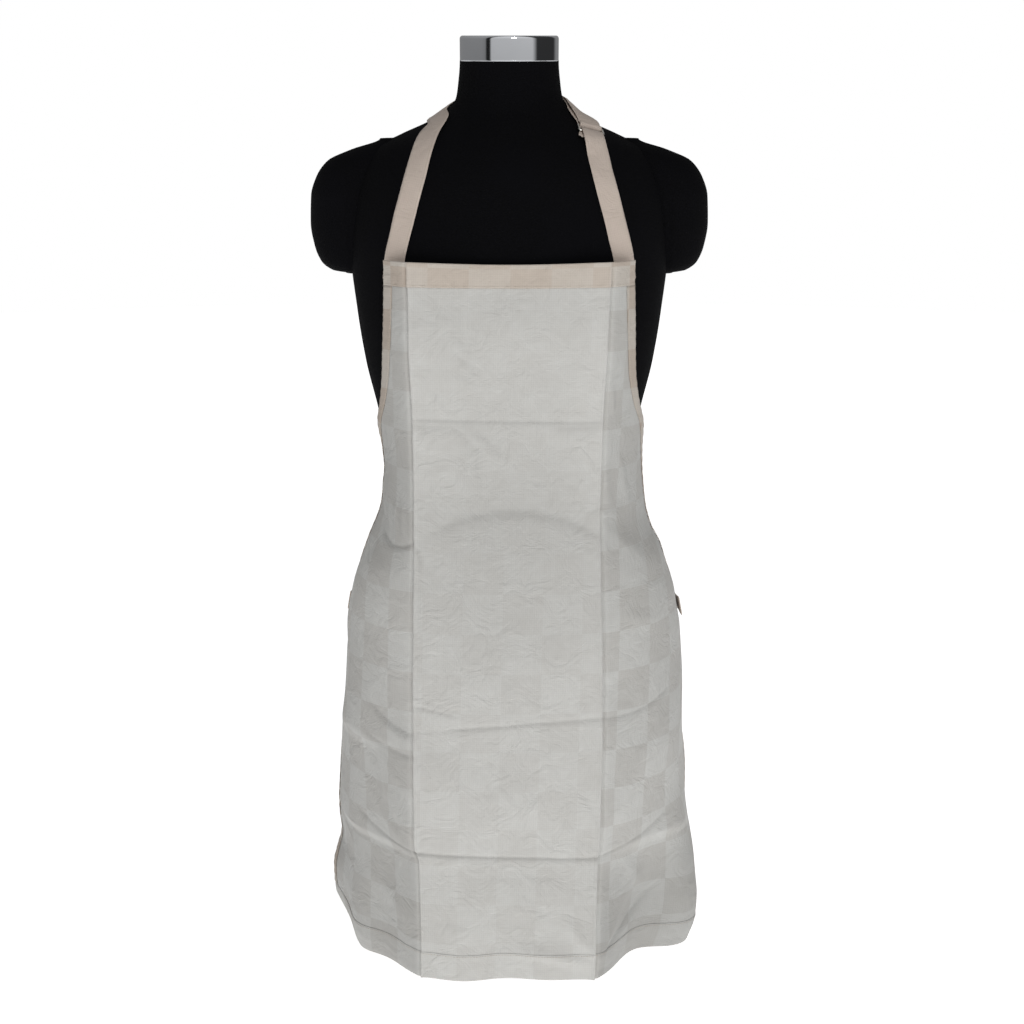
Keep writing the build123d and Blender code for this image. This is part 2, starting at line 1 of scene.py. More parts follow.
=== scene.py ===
# A bib apron on a dress form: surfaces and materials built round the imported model.

import math
import bmesh
import bpy
import mathutils
import numpy as np
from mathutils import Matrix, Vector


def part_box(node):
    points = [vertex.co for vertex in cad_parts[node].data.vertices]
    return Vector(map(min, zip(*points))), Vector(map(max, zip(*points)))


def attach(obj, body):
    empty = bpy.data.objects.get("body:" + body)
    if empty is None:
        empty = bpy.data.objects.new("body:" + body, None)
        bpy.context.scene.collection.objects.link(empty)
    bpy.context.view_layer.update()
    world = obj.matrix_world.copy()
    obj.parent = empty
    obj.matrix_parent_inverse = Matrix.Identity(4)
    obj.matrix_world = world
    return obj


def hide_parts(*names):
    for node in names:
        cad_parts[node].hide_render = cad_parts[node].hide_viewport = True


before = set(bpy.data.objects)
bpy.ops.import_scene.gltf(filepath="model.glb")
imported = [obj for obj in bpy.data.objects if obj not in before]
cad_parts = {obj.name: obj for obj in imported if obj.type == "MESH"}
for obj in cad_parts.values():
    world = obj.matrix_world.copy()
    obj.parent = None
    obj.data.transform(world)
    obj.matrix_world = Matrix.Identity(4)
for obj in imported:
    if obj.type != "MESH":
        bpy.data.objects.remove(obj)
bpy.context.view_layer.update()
print("frame loaded")


# Shared helpers.

def linear(hexColour):
    # sRGB hex to linear RGBA, the form that sockets take
    parts = [int(hexColour[i:i + 2], 16) / 255 for i in (1, 3, 5)]
    return tuple(part / 12.92 if part <= 0.04045 else ((part + 0.055) / 1.055) ** 2.4 for part in parts) + (1.0,)


def smooth(edge0, edge1, x):
    # 0 below edge0, 1 above edge1, with an easy start and stop between
    t = np.clip((x - edge0) / (edge1 - edge0), 0, 1)
    return t * t * (3 - 2 * t)


def bump(x, width):
    # a bell of height 1 whose half width at half height is about width
    return np.exp(-0.693 * (x / width) ** 2)


def between(stations, z):
    # columns of a table at heights z, on cubic pieces whose slope never overshoots a station
    table = np.array(stations, float)
    order = np.argsort(table[:, 0])
    zs, values = table[order, 0], table[order, 1:]
    z = np.clip(z, zs[0], zs[-1])
    step = np.diff(zs)[:, None]
    slope = np.diff(values, axis=0) / step
    a, b = slope[:-1], slope[1:]
    inner = np.where(a * b > 0, 2 * a * b / np.where(a + b == 0, 1, a + b), 0)
    tangent = np.vstack([np.zeros(values.shape[1]), inner, np.zeros(values.shape[1])])
    i = np.clip(np.searchsorted(zs, z, side="right") - 1, 0, len(zs) - 2)
    h = zs[i + 1] - zs[i]
    t = ((z - zs[i]) / h)[..., None]
    h = h[..., None]
    value = (values[i] * (1 + 2 * t) * (1 - t) ** 2 + values[i + 1] * t * t * (3 - 2 * t)
             + h * tangent[i] * t * (1 - t) ** 2 - h * tangent[i + 1] * t * t * (1 - t))
    return [value[..., k] for k in range(value.shape[-1])]


def power(value, exponent):
    return np.sign(value) * np.abs(value) ** exponent


def gridFaces(rows, columns, closed=False):
    # quads over a rows by columns grid of points, wrapped round when closed
    across = columns if closed else columns - 1
    r, c = np.meshgrid(np.arange(rows - 1), np.arange(across), indexing="ij")
    n = (c + 1) % columns
    corners = [r * columns + c, r * columns + n, (r + 1) * columns + n, (r + 1) * columns + c]
    return np.stack(corners, -1).reshape(-1, 4)


def makeMesh(name, points, faces, uv=None, material=None, flip=False):
    # one mesh object from an array of points and an array of quads, shaded smooth
    mesh = bpy.data.meshes.new(name)
    faces = np.asarray(faces)
    if flip:
        faces = faces[:, ::-1]
    mesh.vertices.add(len(points))
    mesh.vertices.foreach_set("co", np.asarray(points, np.float32).ravel())
    mesh.loops.add(faces.size)
    mesh.loops.foreach_set("vertex_index", faces.ravel().astype(np.int32))
    mesh.polygons.add(len(faces))
    mesh.polygons.foreach_set("loop_start", np.arange(0, faces.size, faces.shape[1], dtype=np.int32))
    mesh.update(calc_edges=True)
    mesh.validate()
    mesh.polygons.foreach_set("use_smooth", np.ones(len(mesh.polygons), bool))
    if uv is not None:
        layer = mesh.uv_layers.new(name="cloth")
        index = np.zeros(len(mesh.loops), np.int32)
        mesh.loops.foreach_get("vertex_index", index)
        layer.data.foreach_set("uv", np.asarray(uv, np.float32)[index].ravel())
    piece = bpy.data.objects.new(name, mesh)
    bpy.context.scene.collection.objects.link(piece)
    if material:
        mesh.materials.append(material)
    return piece


def unit(vectors):
    return vectors / np.maximum(np.linalg.norm(vectors, axis=-1, keepdims=True), 1e-12)


# Materials, named for what the real pieces are made of.

def node(tree, kind, settings=None, **links):
    # adds a node; settings are its own fields, links are input values or sockets by input name
    made = tree.nodes.new(kind)
    for key, value in (settings or {}).items():
        setattr(made, key, value)
    for key, value in links.items():
        numbered = key[0] == "i" and key[1:].isdigit()
        socket = made.inputs[int(key[1:]) if numbered else key.replace("_", " ")]
        if isinstance(value, bpy.types.NodeSocket):
            tree.links.new(value, socket)
        else:
            socket.default_value = value
    return made


def material(name, **sockets):
    # a named material with one Principled shader; constants go on the shader's own sockets
    made = bpy.data.materials.new(name)
    made.use_nodes = True
    made.node_tree.nodes.clear()
    shader = node(made.node_tree, "ShaderNodeBsdfPrincipled")
    out = node(made.node_tree, "ShaderNodeOutputMaterial")
    made.node_tree.links.new(shader.outputs[0], out.inputs[0])
    for key, value in sockets.items():
        shader.inputs[key.replace("_", " ")].default_value = value
    return made, made.node_tree, shader


def mixColour(tree, fac, a, b):
    mixed = node(tree, "ShaderNodeMix", {"data_type": "RGBA"}, i0=fac, i6=a, i7=b)
    return mixed.outputs[2]


def ramp(tree, fac, low, high, lowColour=(0, 0, 0, 1), highColour=(1, 1, 1, 1)):
    made = node(tree, "ShaderNodeValToRGB", Fac=fac)
    made.color_ramp.elements[0].position, made.color_ramp.elements[0].color = low, lowColour
    made.color_ramp.elements[1].position, made.color_ramp.elements[1].color = high, highColour
    return made.outputs[0]


def scaled(tree, vector, scale, **more):
    return node(tree, "ShaderNodeMapping", Vector=vector, Scale=scale, **more).outputs[0]


def addBump(tree, shader, height, distance, strength=1.0, normal=None):
    made = node(tree, "ShaderNodeBump", Height=height, Distance=distance, Strength=strength)
    if normal:
        tree.links.new(normal, made.inputs["Normal"])
    tree.links.new(made.outputs[0], shader.inputs["Normal"])
    return made.outputs[0]


def math2(tree, operation, a, b=0.0):
    return node(tree, "ShaderNodeMath", {"operation": operation}, i0=a, i1=b).outputs[0]


def multiplied(tree, colour, shade):
    settings = {"data_type": "RGBA", "blend_type": "MULTIPLY"}
    return node(tree, "ShaderNodeMix", settings, i0=1.0, i6=colour, i7=shade).outputs[2]


clothLook = {
    "lit": "#D2D2CF",          # natural cotton with light behind it
    "backed": "#CBCBC8",       # the same cloth lying on the black form, which shows through
    "tint": "#B2ADA7",         # unbleached warp in the darker squares
    "deep": "#1A1816",         # colour of the painted shade past the pressed folds and in pressed lines
    "creaseShade": 0.16,               # how much of the painted shadow colour goes into pressed lines, as painted shade
    "square": (0.0437, 0.0447),   # width and height of one woven square
    "start": (-0.035, 0.10),   # where the squares begin, in squares
    "thread": 0.0012,          # real threads are 0.45 mm apart; drawn wider so that they show
    "slub": 0.6,               # share of the thread's unevenness in the weave
    "weave": 0.00012,          # height of the threads
    "rumple": 0.0035,          # height of the fine crumpling of unstarched cotton
    "crumples": 34.0,          # crumples in a metre, roughly
    "sheen": 0.12, "sheenRoughness": 0.6, "specular": 0.18, "roughness": 0.88,
}


def threads(tree, uv):
    # warp and weft ribs crossing at right angles, with uneven thread thickness, and a slow wander of tone
    spacing, slub = clothLook["thread"], clothLook["slub"]
    wander = node(tree, "ShaderNodeTexNoise", Vector=scaled(tree, uv, (60, 60, 1)), Scale=1.0, Detail=2.0)
    ribs = []
    for direction, stretch in (("X", (1, 0.02, 1)), ("Y", (0.02, 1, 1))):
        wave = node(tree, "ShaderNodeTexWave", {"bands_direction": direction, "wave_profile": "SIN"}, Scale=1.0,
                    Vector=scaled(tree, uv, (1 / spacing / 20 * 3.14159,) * 3), Distortion=1.2, Detail=1.0)
        streak = node(tree, "ShaderNodeTexNoise", Scale=1 / spacing * 0.5, Detail=2.0, Vector=scaled(tree, uv, stretch))
        even = math2(tree, "MULTIPLY", wave.outputs["Fac"], 1 - slub)
        ribs.append(math2(tree, "ADD", even, math2(tree, "MULTIPLY", streak.outputs["Fac"], slub)))
    return math2(tree, "MULTIPLY", math2(tree, "ADD", ribs[0], ribs[1]), 0.5), wander.outputs["Fac"]


def clothMaterial(name, lit, backed, tint, checkDepth):
    # woven cotton: dull, slightly fuzzy at grazing angles, squares a shade apart from their neighbours; painted shade
    # past the pressed folds and in pressed lines, and a painted sheen in how strongly the squares show
    look = clothLook
    made, tree, shader = material(name, Roughness=look["roughness"], Sheen_Weight=look["sheen"],
                                  Sheen_Roughness=look["sheenRoughness"], Specular_IOR_Level=look["specular"])
    uv = node(tree, "ShaderNodeUVMap", {"uv_map": "cloth"}).outputs[0]
    weave, wander = threads(tree, uv)
    place = scaled(tree, uv, (1 / look["square"][0], 1 / look["square"][1], 1), Location=(*look["start"], 0.5))
    squares = node(tree, "ShaderNodeTexChecker", Vector=place, Scale=1.0).outputs["Fac"]
    reading = {label: node(tree, "ShaderNodeAttribute", {"attribute_name": label}).outputs["Fac"]
               for label in ("backing", "squares", "shade", "creaseShade")}
    body = mixColour(tree, reading["backing"], linear(lit), linear(backed))
    # painted sheen: how strongly the woven squares show, and which of them is darker, comes from the squares attribute
    swing = math2(tree, "MULTIPLY", reading["squares"], checkDepth)
    depth = math2(tree, "MULTIPLY", math2(tree, "SUBTRACT", squares, 0.5), swing)
    body = mixColour(tree, math2(tree, "ADD", depth, 1.5 * checkDepth), body, linear(tint))
    # painted shade: past the pressed folds the cloth's colour is darkened towards the deep colour, by height
    body = mixColour(tree, reading["shade"], body, linear(look["deep"]))
    # painted shade in pressed lines and in a thin line just past each pressed fold
    body = mixColour(tree, math2(tree, "MULTIPLY", reading["creaseShade"], look["creaseShade"]), body, linear(look["deep"]))
    body = multiplied(tree, body, ramp(tree, weave, 0.32, 0.68, (0.955, 0.955, 0.95, 1), (1.02, 1.02, 1.02, 1)))
    body = multiplied(tree, body, ramp(tree, wander, 0.3, 0.75, (0.97, 0.965, 0.96, 1), (1.02, 1.02, 1.02, 1)))
    tree.links.new(body, shader.inputs["Base Color"])
    creased = node(tree, "ShaderNodeTexNoise", Vector=uv, Scale=look["crumples"], Detail=4.0, Roughness=0.55,
                   Distortion=0.9)
    ridge = math2(tree, "ABSOLUTE", math2(tree, "SUBTRACT", creased.outputs["Fac"], 0.5))
    addBump(tree, shader, weave, look["weave"], 0.5, addBump(tree, shader, ridge, look["rumple"]))
    return made


cottonPanel = clothMaterial("cottonCheck", clothLook["lit"], clothLook["backed"], clothLook["tint"], 0.13)
cottonHem = clothMaterial("cottonHemDoubled", "#D0CBC4", "#CBC4BB", "#B9A797", 0.22)
cottonTape = clothMaterial("cottonTape", "#CDBFB4", "#CABBB0", "#B5A195", 0.0)

jerseyLook = {"low": "#070708", "high": "#0D0D10", "lint": "#0B0B0E", "rib": 0.0016, "ribHeight": 0.0002,
              "reach": 0.15, "fluff": 900.0, "roughness": 0.95, "specular": 0.06}


def jerseyMaterial():
    # black viscose knit: swallows light, fine upright ribs, whose angle is turned into a length at the form's reach
    look = jerseyLook
    made, tree, shader = material("blackJersey", Roughness=look["roughness"], Specular_IOR_Level=look["specular"])
    place = node(tree, "ShaderNodeTexCoord").outputs["Object"]
    turn = node(tree, "ShaderNodeSeparateXYZ", i0=place)
    angle = math2(tree, "ARCTAN2", turn.outputs[1], turn.outputs[0])
    rate = 2 * math.pi / look["rib"]
    ribs = math2(tree, "SINE", math2(tree, "MULTIPLY", angle, rate * look["reach"]))
    courses = math2(tree, "SINE", math2(tree, "MULTIPLY", turn.outputs[2], rate))
    knit = math2(tree, "MULTIPLY", math2(tree, "ADD", ribs, courses), 0.5)
    fluff = node(tree, "ShaderNodeTexNoise", Vector=place, Scale=look["fluff"], Detail=3.0).outputs["Fac"]
    lint = node(tree, "ShaderNodeTexNoise", Vector=place, Scale=14.0, Detail=4.0).outputs["Fac"]
    base = ramp(tree, fluff, 0.35, 0.7, linear(look["low"]), linear(look["high"]))
    base = mixColour(tree, ramp(tree, lint, 0.45, 0.75), base, linear(look["lint"]))
    tree.links.new(base, shader.inputs["Base Color"])
    addBump(tree, shader, knit, look["ribHeight"], 0.5)
    return made


def metalMaterial(name, colour, roughness, grain, grainDepth=0.00002, stretch=(1, 1, 30)):
    # plated or turned steel: mirror-like, with fine drawn lines that soften the reflections
    made, tree, shader = material(name, Metallic=1.0)
    place = node(tree, "ShaderNodeTexCoord").outputs["Object"]
    drawn = scaled(tree, place, stretch)
    lines = node(tree, "ShaderNodeTexNoise", Vector=drawn, Scale=grain, Detail=4.0).outputs["Fac"]
    smudge = node(tree, "ShaderNodeTexNoise", Vector=place, Scale=30.0, Detail=3.0).outputs["Fac"]
    base = ramp(tree, smudge, 0.3, 0.8, tuple(0.93 * c for c in linear(colour)[:3]) + (1,), linear(colour))
    tree.links.new(base, shader.inputs["Base Color"])
    shine = math2(tree, "ADD", math2(tree, "MULTIPLY", lines, roughness * 0.8), roughness * 0.6)
    tree.links.new(shine, shader.inputs["Roughness"])
    addBump(tree, shader, lines, grainDepth, 0.4)
    return made


def matteMaterial(name, low, high, scale, roughness, depth, specular=0.3):
    # a dull surface with two close colours broken up by a fine grain
    made, tree, shader = material(name, Roughness=roughness, Specular_IOR_Level=specular)
    place = node(tree, "ShaderNodeTexCoord").outputs["Object"]
    grain = node(tree, "ShaderNodeTexNoise", Vector=place, Scale=scale, Detail=5.0).outputs["Fac"]
    tree.links.new(ramp(tree, grain, 0.35, 0.68, linear(low), linear(high)), shader.inputs["Base Color"])
    addBump(tree, shader, grain, depth, 0.6)
    return made


def plywoodMaterial():
    # birch plywood: long grain on the face and thin glue lines round the edge
    made, tree, shader = material("birchPlywood", Roughness=0.6)
    place = node(tree, "ShaderNodeTexCoord").outputs["Object"]
    grain = node(tree, "ShaderNodeTexNoise", Vector=scaled(tree, place, (6, 160, 6)), Scale=1.0, Detail=6.0,
                 Distortion=0.6)
    layers = node(tree, "ShaderNodeTexWave", {"bands_direction": "Z"}, Scale=3.0,
                  Vector=scaled(tree, place, (0, 0, 36)))
    wood = ramp(tree, grain.outputs["Fac"], 0.3, 0.7, linear("#A98558"), linear("#CFAF82"))
    wood = mixColour(tree, ramp(tree, layers.outputs["Fac"], 0.82, 0.95), wood, linear("#8A6A45"))
    tree.links.new(wood, shader.inputs["Base Color"])
    addBump(tree, shader, grain.outputs["Fac"], 0.0002, 0.5)
    return made


jersey = jerseyMaterial()
chrome = metalMaterial("polishedChrome", "#E6E8EC", 0.07, 40.0, stretch=(1, 1, 0.05), grainDepth=0.00001)
nickel = metalMaterial("nickelPlate", "#D8D5CF", 0.16, 300.0)
steel = metalMaterial("satinSteel", "#B9BABC", 0.32, 160.0)
powder = matteMaterial("blackPowderCoat", "#0F0F10", "#1B1B1D", 1400.0, 0.55, 0.0001, 0.4)
plastic = matteMaterial("mouldedBlackNylon", "#0C0C0D", "#161617", 600.0, 0.45, 0.00005, 0.45)
rubber = matteMaterial("blackRubber", "#0B0B0B", "#141414", 900.0, 0.85, 0.0001, 0.2)
papier = matteMaterial("papierMache", "#8A7A62", "#A89878", 90.0, 0.85, 0.0006, 0.25)
foam = matteMaterial("greyFoam", "#3A3A3C", "#4A4A4D", 1200.0, 0.95, 0.0003, 0.1)
plywood = plywoodMaterial()
thread = matteMaterial("sewingThread", "#B9AFA2", "#D2C9BB", 2500.0, 0.75, 0.00005, 0.25)

cadFinish = {
    "base_plate": powder, "tube_foot": powder, "clamp_knob": plastic, "tube_bush": plastic, "pole_runner": plastic,
    "pole_cap": plastic, "thrust_washer": plastic, "base_board": plywood, "neck_plug": plywood, "torso_shell": papier,
    "arm_stub_left": foam, "arm_stub_right": foam, "strap_ring": nickel, "strap_slider": nickel, "neck_cap": chrome,
}
for name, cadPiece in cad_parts.items():
    finish = cadFinish.get(name, rubber if name.startswith("rubber") else steel)
    cadPiece.data.materials.clear()
    cadPiece.data.materials.append(finish)
print("materials made")


# The form's skin.

formShape = {
    "neckTop": 1.025, "capRadius": 0.054, "capCentreY": 0.004, "bottom": 0.270, "turnUnder": 0.012,
    "stations": [   # height, half width, front, back, squareness
        (0.270, 0.172, 0.104, 0.104, 2.2), (0.330, 0.183, 0.112, 0.116, 2.2), (0.390, 0.185, 0.118, 0.121, 2.2),
        (0.440, 0.177, 0.119, 0.112, 2.2), (0.490, 0.160, 0.112, 0.097, 2.2), (0.540, 0.142, 0.103, 0.084, 2.2),
        (0.590, 0.138, 0.098, 0.079, 2.2), (0.640, 0.146, 0.102, 0.084, 2.3), (0.700, 0.160, 0.110, 0.093, 2.3),
        (0.760, 0.169, 0.117, 0.102, 2.4), (0.820, 0.175, 0.117, 0.109, 2.4), (0.870, 0.174, 0.110, 0.111, 2.3),
        (0.905, 0.166, 0.101, 0.108, 2.2), (0.930, 0.150, 0.088, 0.101, 2.1), (0.947, 0.118, 0.076, 0.092, 2.1),
        (0.960, 0.089, 0.066, 0.081, 2.0), (0.972, 0.069, 0.057, 0.070, 2.0), (0.985, 0.0585, 0.052, 0.064, 2.0),
        (1.000, 0.056, 0.050, 0.061, 2.0), (1.025, 0.054, 0.049, 0.059, 2.0),
    ],
    "arms": [   # height, inner reach, outer reach, half depth
        (0.795, 0.162, 0.182, 0.014), (0.799, 0.150, 0.198, 0.030), (0.808, 0.140, 0.209, 0.039),
        (0.825, 0.132, 0.216, 0.044), (0.850, 0.128, 0.220, 0.047), (0.880, 0.126, 0.219, 0.047),
        (0.900, 0.124, 0.213, 0.044), (0.918, 0.120, 0.200, 0.037), (0.930, 0.112, 0.174, 0.027),
        (0.942, 0.104, 0.142, 0.015),
    ],
}


def skinPoint(height, angle, outset=0.0):
    # superellipse of the form at a height; the angle in degrees runs from the front towards +X
    half, front, back, square = between(formShape["stations"], np.asarray(height, float))
    a = np.radians(angle)
    middle, depth = (back - front) / 2, (back + front) / 2
    x = (half + outset) * power(np.sin(a), 2 / square)
    y = middle - (depth + outset) * power(np.cos(a), 2 / square)
    return np.stack(np.broadcast_arrays(x, y, np.asarray(height, float)), -1)


def skinNormal(height, angle):
    # cross product of the skin's two directions, pointing outwards
    along = skinPoint(height, np.asarray(angle) + 1.0) - skinPoint(height, np.asarray(angle) - 1.0)
    up = skinPoint(np.asarray(height) + 0.002, angle) - skinPoint(np.asarray(height) - 0.002, angle)
    return unit(np.cross(along, up))


def skinAngle(x, height):
    # the angle at which the front of the skin has a given x
    half, _, _, square = between(formShape["stations"], np.asarray(height, float))
    return np.degrees(np.arcsin(np.minimum(1.0, np.abs(x) / half) ** (square / 2)))


def makeTorso():
    # skin rows from the turned-under bottom edge to the neck, with pressed side seams
    shape = formShape
    heights = np.concatenate([np.full(5, shape["bottom"]), np.linspace(shape["bottom"], shape["neckTop"], 250)])
    inset = np.concatenate([np.linspace(shape["turnUnder"], 0.0015, 5), np.zeros(250)])
    angles = np.linspace(0, 360, 241)[:-1]
    grid = skinPoint(heights[:, None], angles[None, :], -inset[:, None])
    grid[0:5, :, 2] = shape["bottom"] + np.array([0.004, 0.0, -0.0006, -0.0006, 0.0002])[:, None]
    seam = bump(angles - 90, 0.5) + bump(angles - 270, 0.5) + bump(angles - 180, 0.4)
    normal = skinNormal(np.clip(heights, 0.28, 1.02)[:, None], angles[None, :])
    hemLine = bump(heights - 0.290, 0.0012)[:, None]
    grid -= normal * (0.0007 * seam[None, :, None] * smooth(0.28, 0.3, heights)[:, None, None])
    grid -= normal * 0.0006 * hemLine[..., None]
    rows, columns = grid.shape[:2]
    skin = makeMesh("torsoJersey", grid.reshape(-1, 3), gridFaces(rows, columns, True), material=jersey)
    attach(skin, "form")
    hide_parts("torso_jersey", "torso_shell")
    return skin


def makeSleeve(side, label):
    # ovals stacked along the arm stub, closed below by a rounded cap, with a seam line down its front and its back
    low, high = formShape["arms"][0][0], formShape["arms"][-1][0]
    heights = low + (high - low) * (1 - np.cos(np.linspace(0, math.pi, 60))) / 2
    inner, outer, depth = between(formShape["arms"], heights)
    shrink = np.concatenate([np.linspace(0.05, 1, 6), np.ones(len(heights))])
    lift = np.concatenate([-0.0005 * np.sin(np.linspace(0, math.pi, 6)), np.zeros(len(heights))])
    heights, inner, outer, depth = (np.concatenate([np.full(6, v[0]), v]) for v in (heights, inner, outer, depth))
    turn = np.linspace(0, 2 * math.pi, 97)[:-1]
    middle, reach = (inner + outer) / 2, (outer - inner) / 2
    x = side * (middle[:, None] + (reach * shrink)[:, None] * np.cos(turn))
    y = 0.004 + (depth * shrink)[:, None] * np.sin(turn)
    z = (heights + lift)[:, None] + 0 * turn
    seam = 0.0008 * bump(np.degrees(turn) - 90, 1.2) + 0.0008 * bump(np.degrees(turn) - 270, 1.2)
    x = x - side * seam * np.cos(turn)
    grid = np.stack([x, y - seam * np.sin(turn), z], -1)
    sleeve = makeMesh(f"sleeve{label}", grid.reshape(-1, 3), gridFaces(*grid.shape[:2], True), material=jersey,
                      flip=side < 0)
    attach(sleeve, "form")
    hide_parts(f"sleeve_{label.lower()}", f"arm_stub_{label.lower()}")
    return sleeve


def makeNeckCap():
    # profile turned round the neck's axis: rolled lower lip, straight wall, eased rim, flat top
    radius, low, high = formShape["capRadius"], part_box("neck_cap")[0].z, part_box("neck_cap")[1].z
    profile = np.array([
        (radius - 0.0012, low), (radius - 0.0004, low), (radius, low + 0.0004), (radius, low + 0.0010),
        (radius - 0.0002, low + 0.0014), (radius - 0.0002, low + 0.0018), (radius - 0.0001, high - 0.0034),
        (radius - 0.0003, high - 0.0022), (radius - 0.0008, high - 0.0012), (radius - 0.0016, high - 0.0004),
        (radius - 0.0026, high), (radius - 0.004, high), (radius - 0.0046, high - 0.0003),
        (radius * 0.5, high - 0.0004), (0.0002, high - 0.0004),
    ])
    turn = np.linspace(0, 2 * math.pi, 193)[:-1]
    grid = np.stack([profile[:, :1] * np.cos(turn), formShape["capCentreY"] + profile[:, :1] * np.sin(turn),
                     np.repeat(profile[:, 1:], len(turn), 1)], -1)
    cap = makeMesh("neckCap", grid.reshape(-1, 3), gridFaces(*grid.shape[:2], True), material=chrome)
    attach(cap, "form")
    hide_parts("neck_cap")


makeTorso()
makeSleeve(-1, "Left")
makeSleeve(1, "Right")
makeNeckCap()
print("form dressed")

# Surface of the cloth.

apron = {
    "top": 0.819, "hem": 0.0145, "halfWidth": 0.321, "foldWidth": 0.0020, "foldEdge": 0.010,
    "sideHem": 0.012, "topHem": 0.0265, "bottomHem": 0.030, "thickness": 0.0005,
    "clear": 0.0022,    # how far the cloth keeps off the form
    "skew": 0.0225,     # how far the grain leans sideways for each metre down
    "rows": 262, "middleColumns": 80, "sideColumns": 41, "foldColumns": 12,
    "lines": [  # height, the left pressed fold and the right one, from the middle of the cloth
        (0.010, 0.1000, 0.0955), (0.150, 0.1010, 0.0985), (0.166, 0.1060, 0.1000), (0.300, 0.1065, 0.1030),
        (0.500, 0.1040, 0.1000), (0.640, 0.1040, 0.1010), (0.720, 0.1070, 0.1040), (0.819, 0.1080, 0.1070)],
    "front": [  # height, front of the cloth (y)
        (0.010, -0.1480), (0.045, -0.1478), (0.100, -0.1445), (0.150, -0.1400), (0.166, -0.1402), (0.220, -0.1418),
        (0.300, -0.1385), (0.330, -0.1375), (0.400, -0.1315), (0.440, -0.1270), (0.490, -0.1200), (0.530, -0.1125),
        (0.560, -0.1075), (0.600, -0.1050), (0.640, -0.1070), (0.700, -0.1160), (0.760, -0.1225), (0.819, -0.1225)],
    "reach": [  # height, outer reach on the left, outer reach on the right
        (0.010, 0.2000, 0.2100), (0.020, 0.2070, 0.2130), (0.033, 0.2120, 0.2175), (0.045, 0.2130, 0.2195),
        (0.071, 0.2140, 0.2205), (0.092, 0.2100, 0.2190), (0.118, 0.2040, 0.2170), (0.143, 0.2060, 0.2130),
        (0.168, 0.2040, 0.2090), (0.218, 0.1990, 0.2060), (0.268, 0.1950, 0.2020), (0.317, 0.1890, 0.2010),
        (0.366, 0.1870, 0.1990), (0.390, 0.1840, 0.1970), (0.414, 0.1815, 0.1920), (0.438, 0.1780, 0.1880),
        (0.462, 0.1715, 0.1800), (0.486, 0.1615, 0.1720), (0.509, 0.1510, 0.1600), (0.533, 0.1440, 0.1540),
        (0.556, 0.1430, 0.1515), (0.580, 0.1400, 0.1495), (0.603, 0.1420, 0.1490), (0.640, 0.1500, 0.1530),
        (0.700, 0.1640, 0.1650), (0.760, 0.1730, 0.1730), (0.819, 0.1790, 0.1790)],
    "cut": [    # height, half width of the cut cloth
        (0.010, 0.3210), (0.410, 0.3200), (0.419, 0.3180), (0.430, 0.3020), (0.450, 0.2820), (0.480, 0.2560),
        (0.520, 0.2320), (0.560, 0.2140), (0.600, 0.1970), (0.630, 0.1800), (0.660, 0.1610), (0.700, 0.1480),
        (0.760, 0.1420), (0.819, 0.1400)],
    "shade": [  # height, painted shade past the left pressed fold and past the right one, as the share of the cloth's colour kept there
        (0.010, 0.78, 0.70), (0.060, 0.76, 0.70), (0.120, 0.78, 0.80), (0.180, 0.80, 0.92), (0.310, 0.85, 0.87),
        (0.420, 0.95, 0.95), (0.500, 0.88, 0.88), (0.577, 0.79, 0.84), (0.720, 0.79, 0.82), (0.819, 0.86, 0.88)],
    "fold": [   # height, turn at the left pressed fold, turn at the right one, slope of the middle before them
        (0.010, 46, 58, 3), (0.060, 44, 52, 4), (0.120, 36, 38, 6), (0.152, 32, 26, 8), (0.166, 26, 17, 9),
        (0.230, 24, 15, 10), (0.268, 20, 10, 10), (0.290, 10, 8, 11), (0.330, 8, 7, 12), (0.420, 7, 6, 13),
        (0.470, 9, 7, 14), (0.500, 22, 16, 13), (0.530, 30, 26, 12), (0.600, 31, 27, 10), (0.660, 28, 25, 9),
        (0.740, 24, 22, 8), (0.819, 22, 21, 7)],
}


def lineFrame(u, z, start, end, sag):
    # place along a line (0 to 1) and distance off it, for points of the cloth; sag bows the line's middle
    start, end = np.array(start), np.array(end)
    length = np.linalg.norm(end - start)
    along = (end - start) / length
    du, dz = u - start[0], z - start[1]
    t = (du * along[0] + dz * along[1]) / length
    return t, -du * along[1] + dz * along[0] - sag * 4 * t * (1 - t), length


def groove(u, z, start, end, depth, width, sag=0.0, ends=0.02):
    # a pressed line: depth times an exponential of the distance off the line, fading at both ends
    t, off, length = lineFrame(u, z, start, end, sag)
    ease = ends / length
    return -0.62 * depth * smooth(-ease, ease, t) * smooth(-1 - ease, -1 + ease, -t) * np.exp(
        0.22 - np.sqrt((off / (0.62 * width)) ** 2 + 0.05))


def roll(u, z, start, end, height, width, sag=0.0):
    # a soft roll of cloth: a bell across the line times half a sine along it
    t, off, _ = lineFrame(u, z, start, end, sag)
    return height * np.sin(np.pi * np.clip(t, 0, 1)) ** 0.7 * bump(off, width)


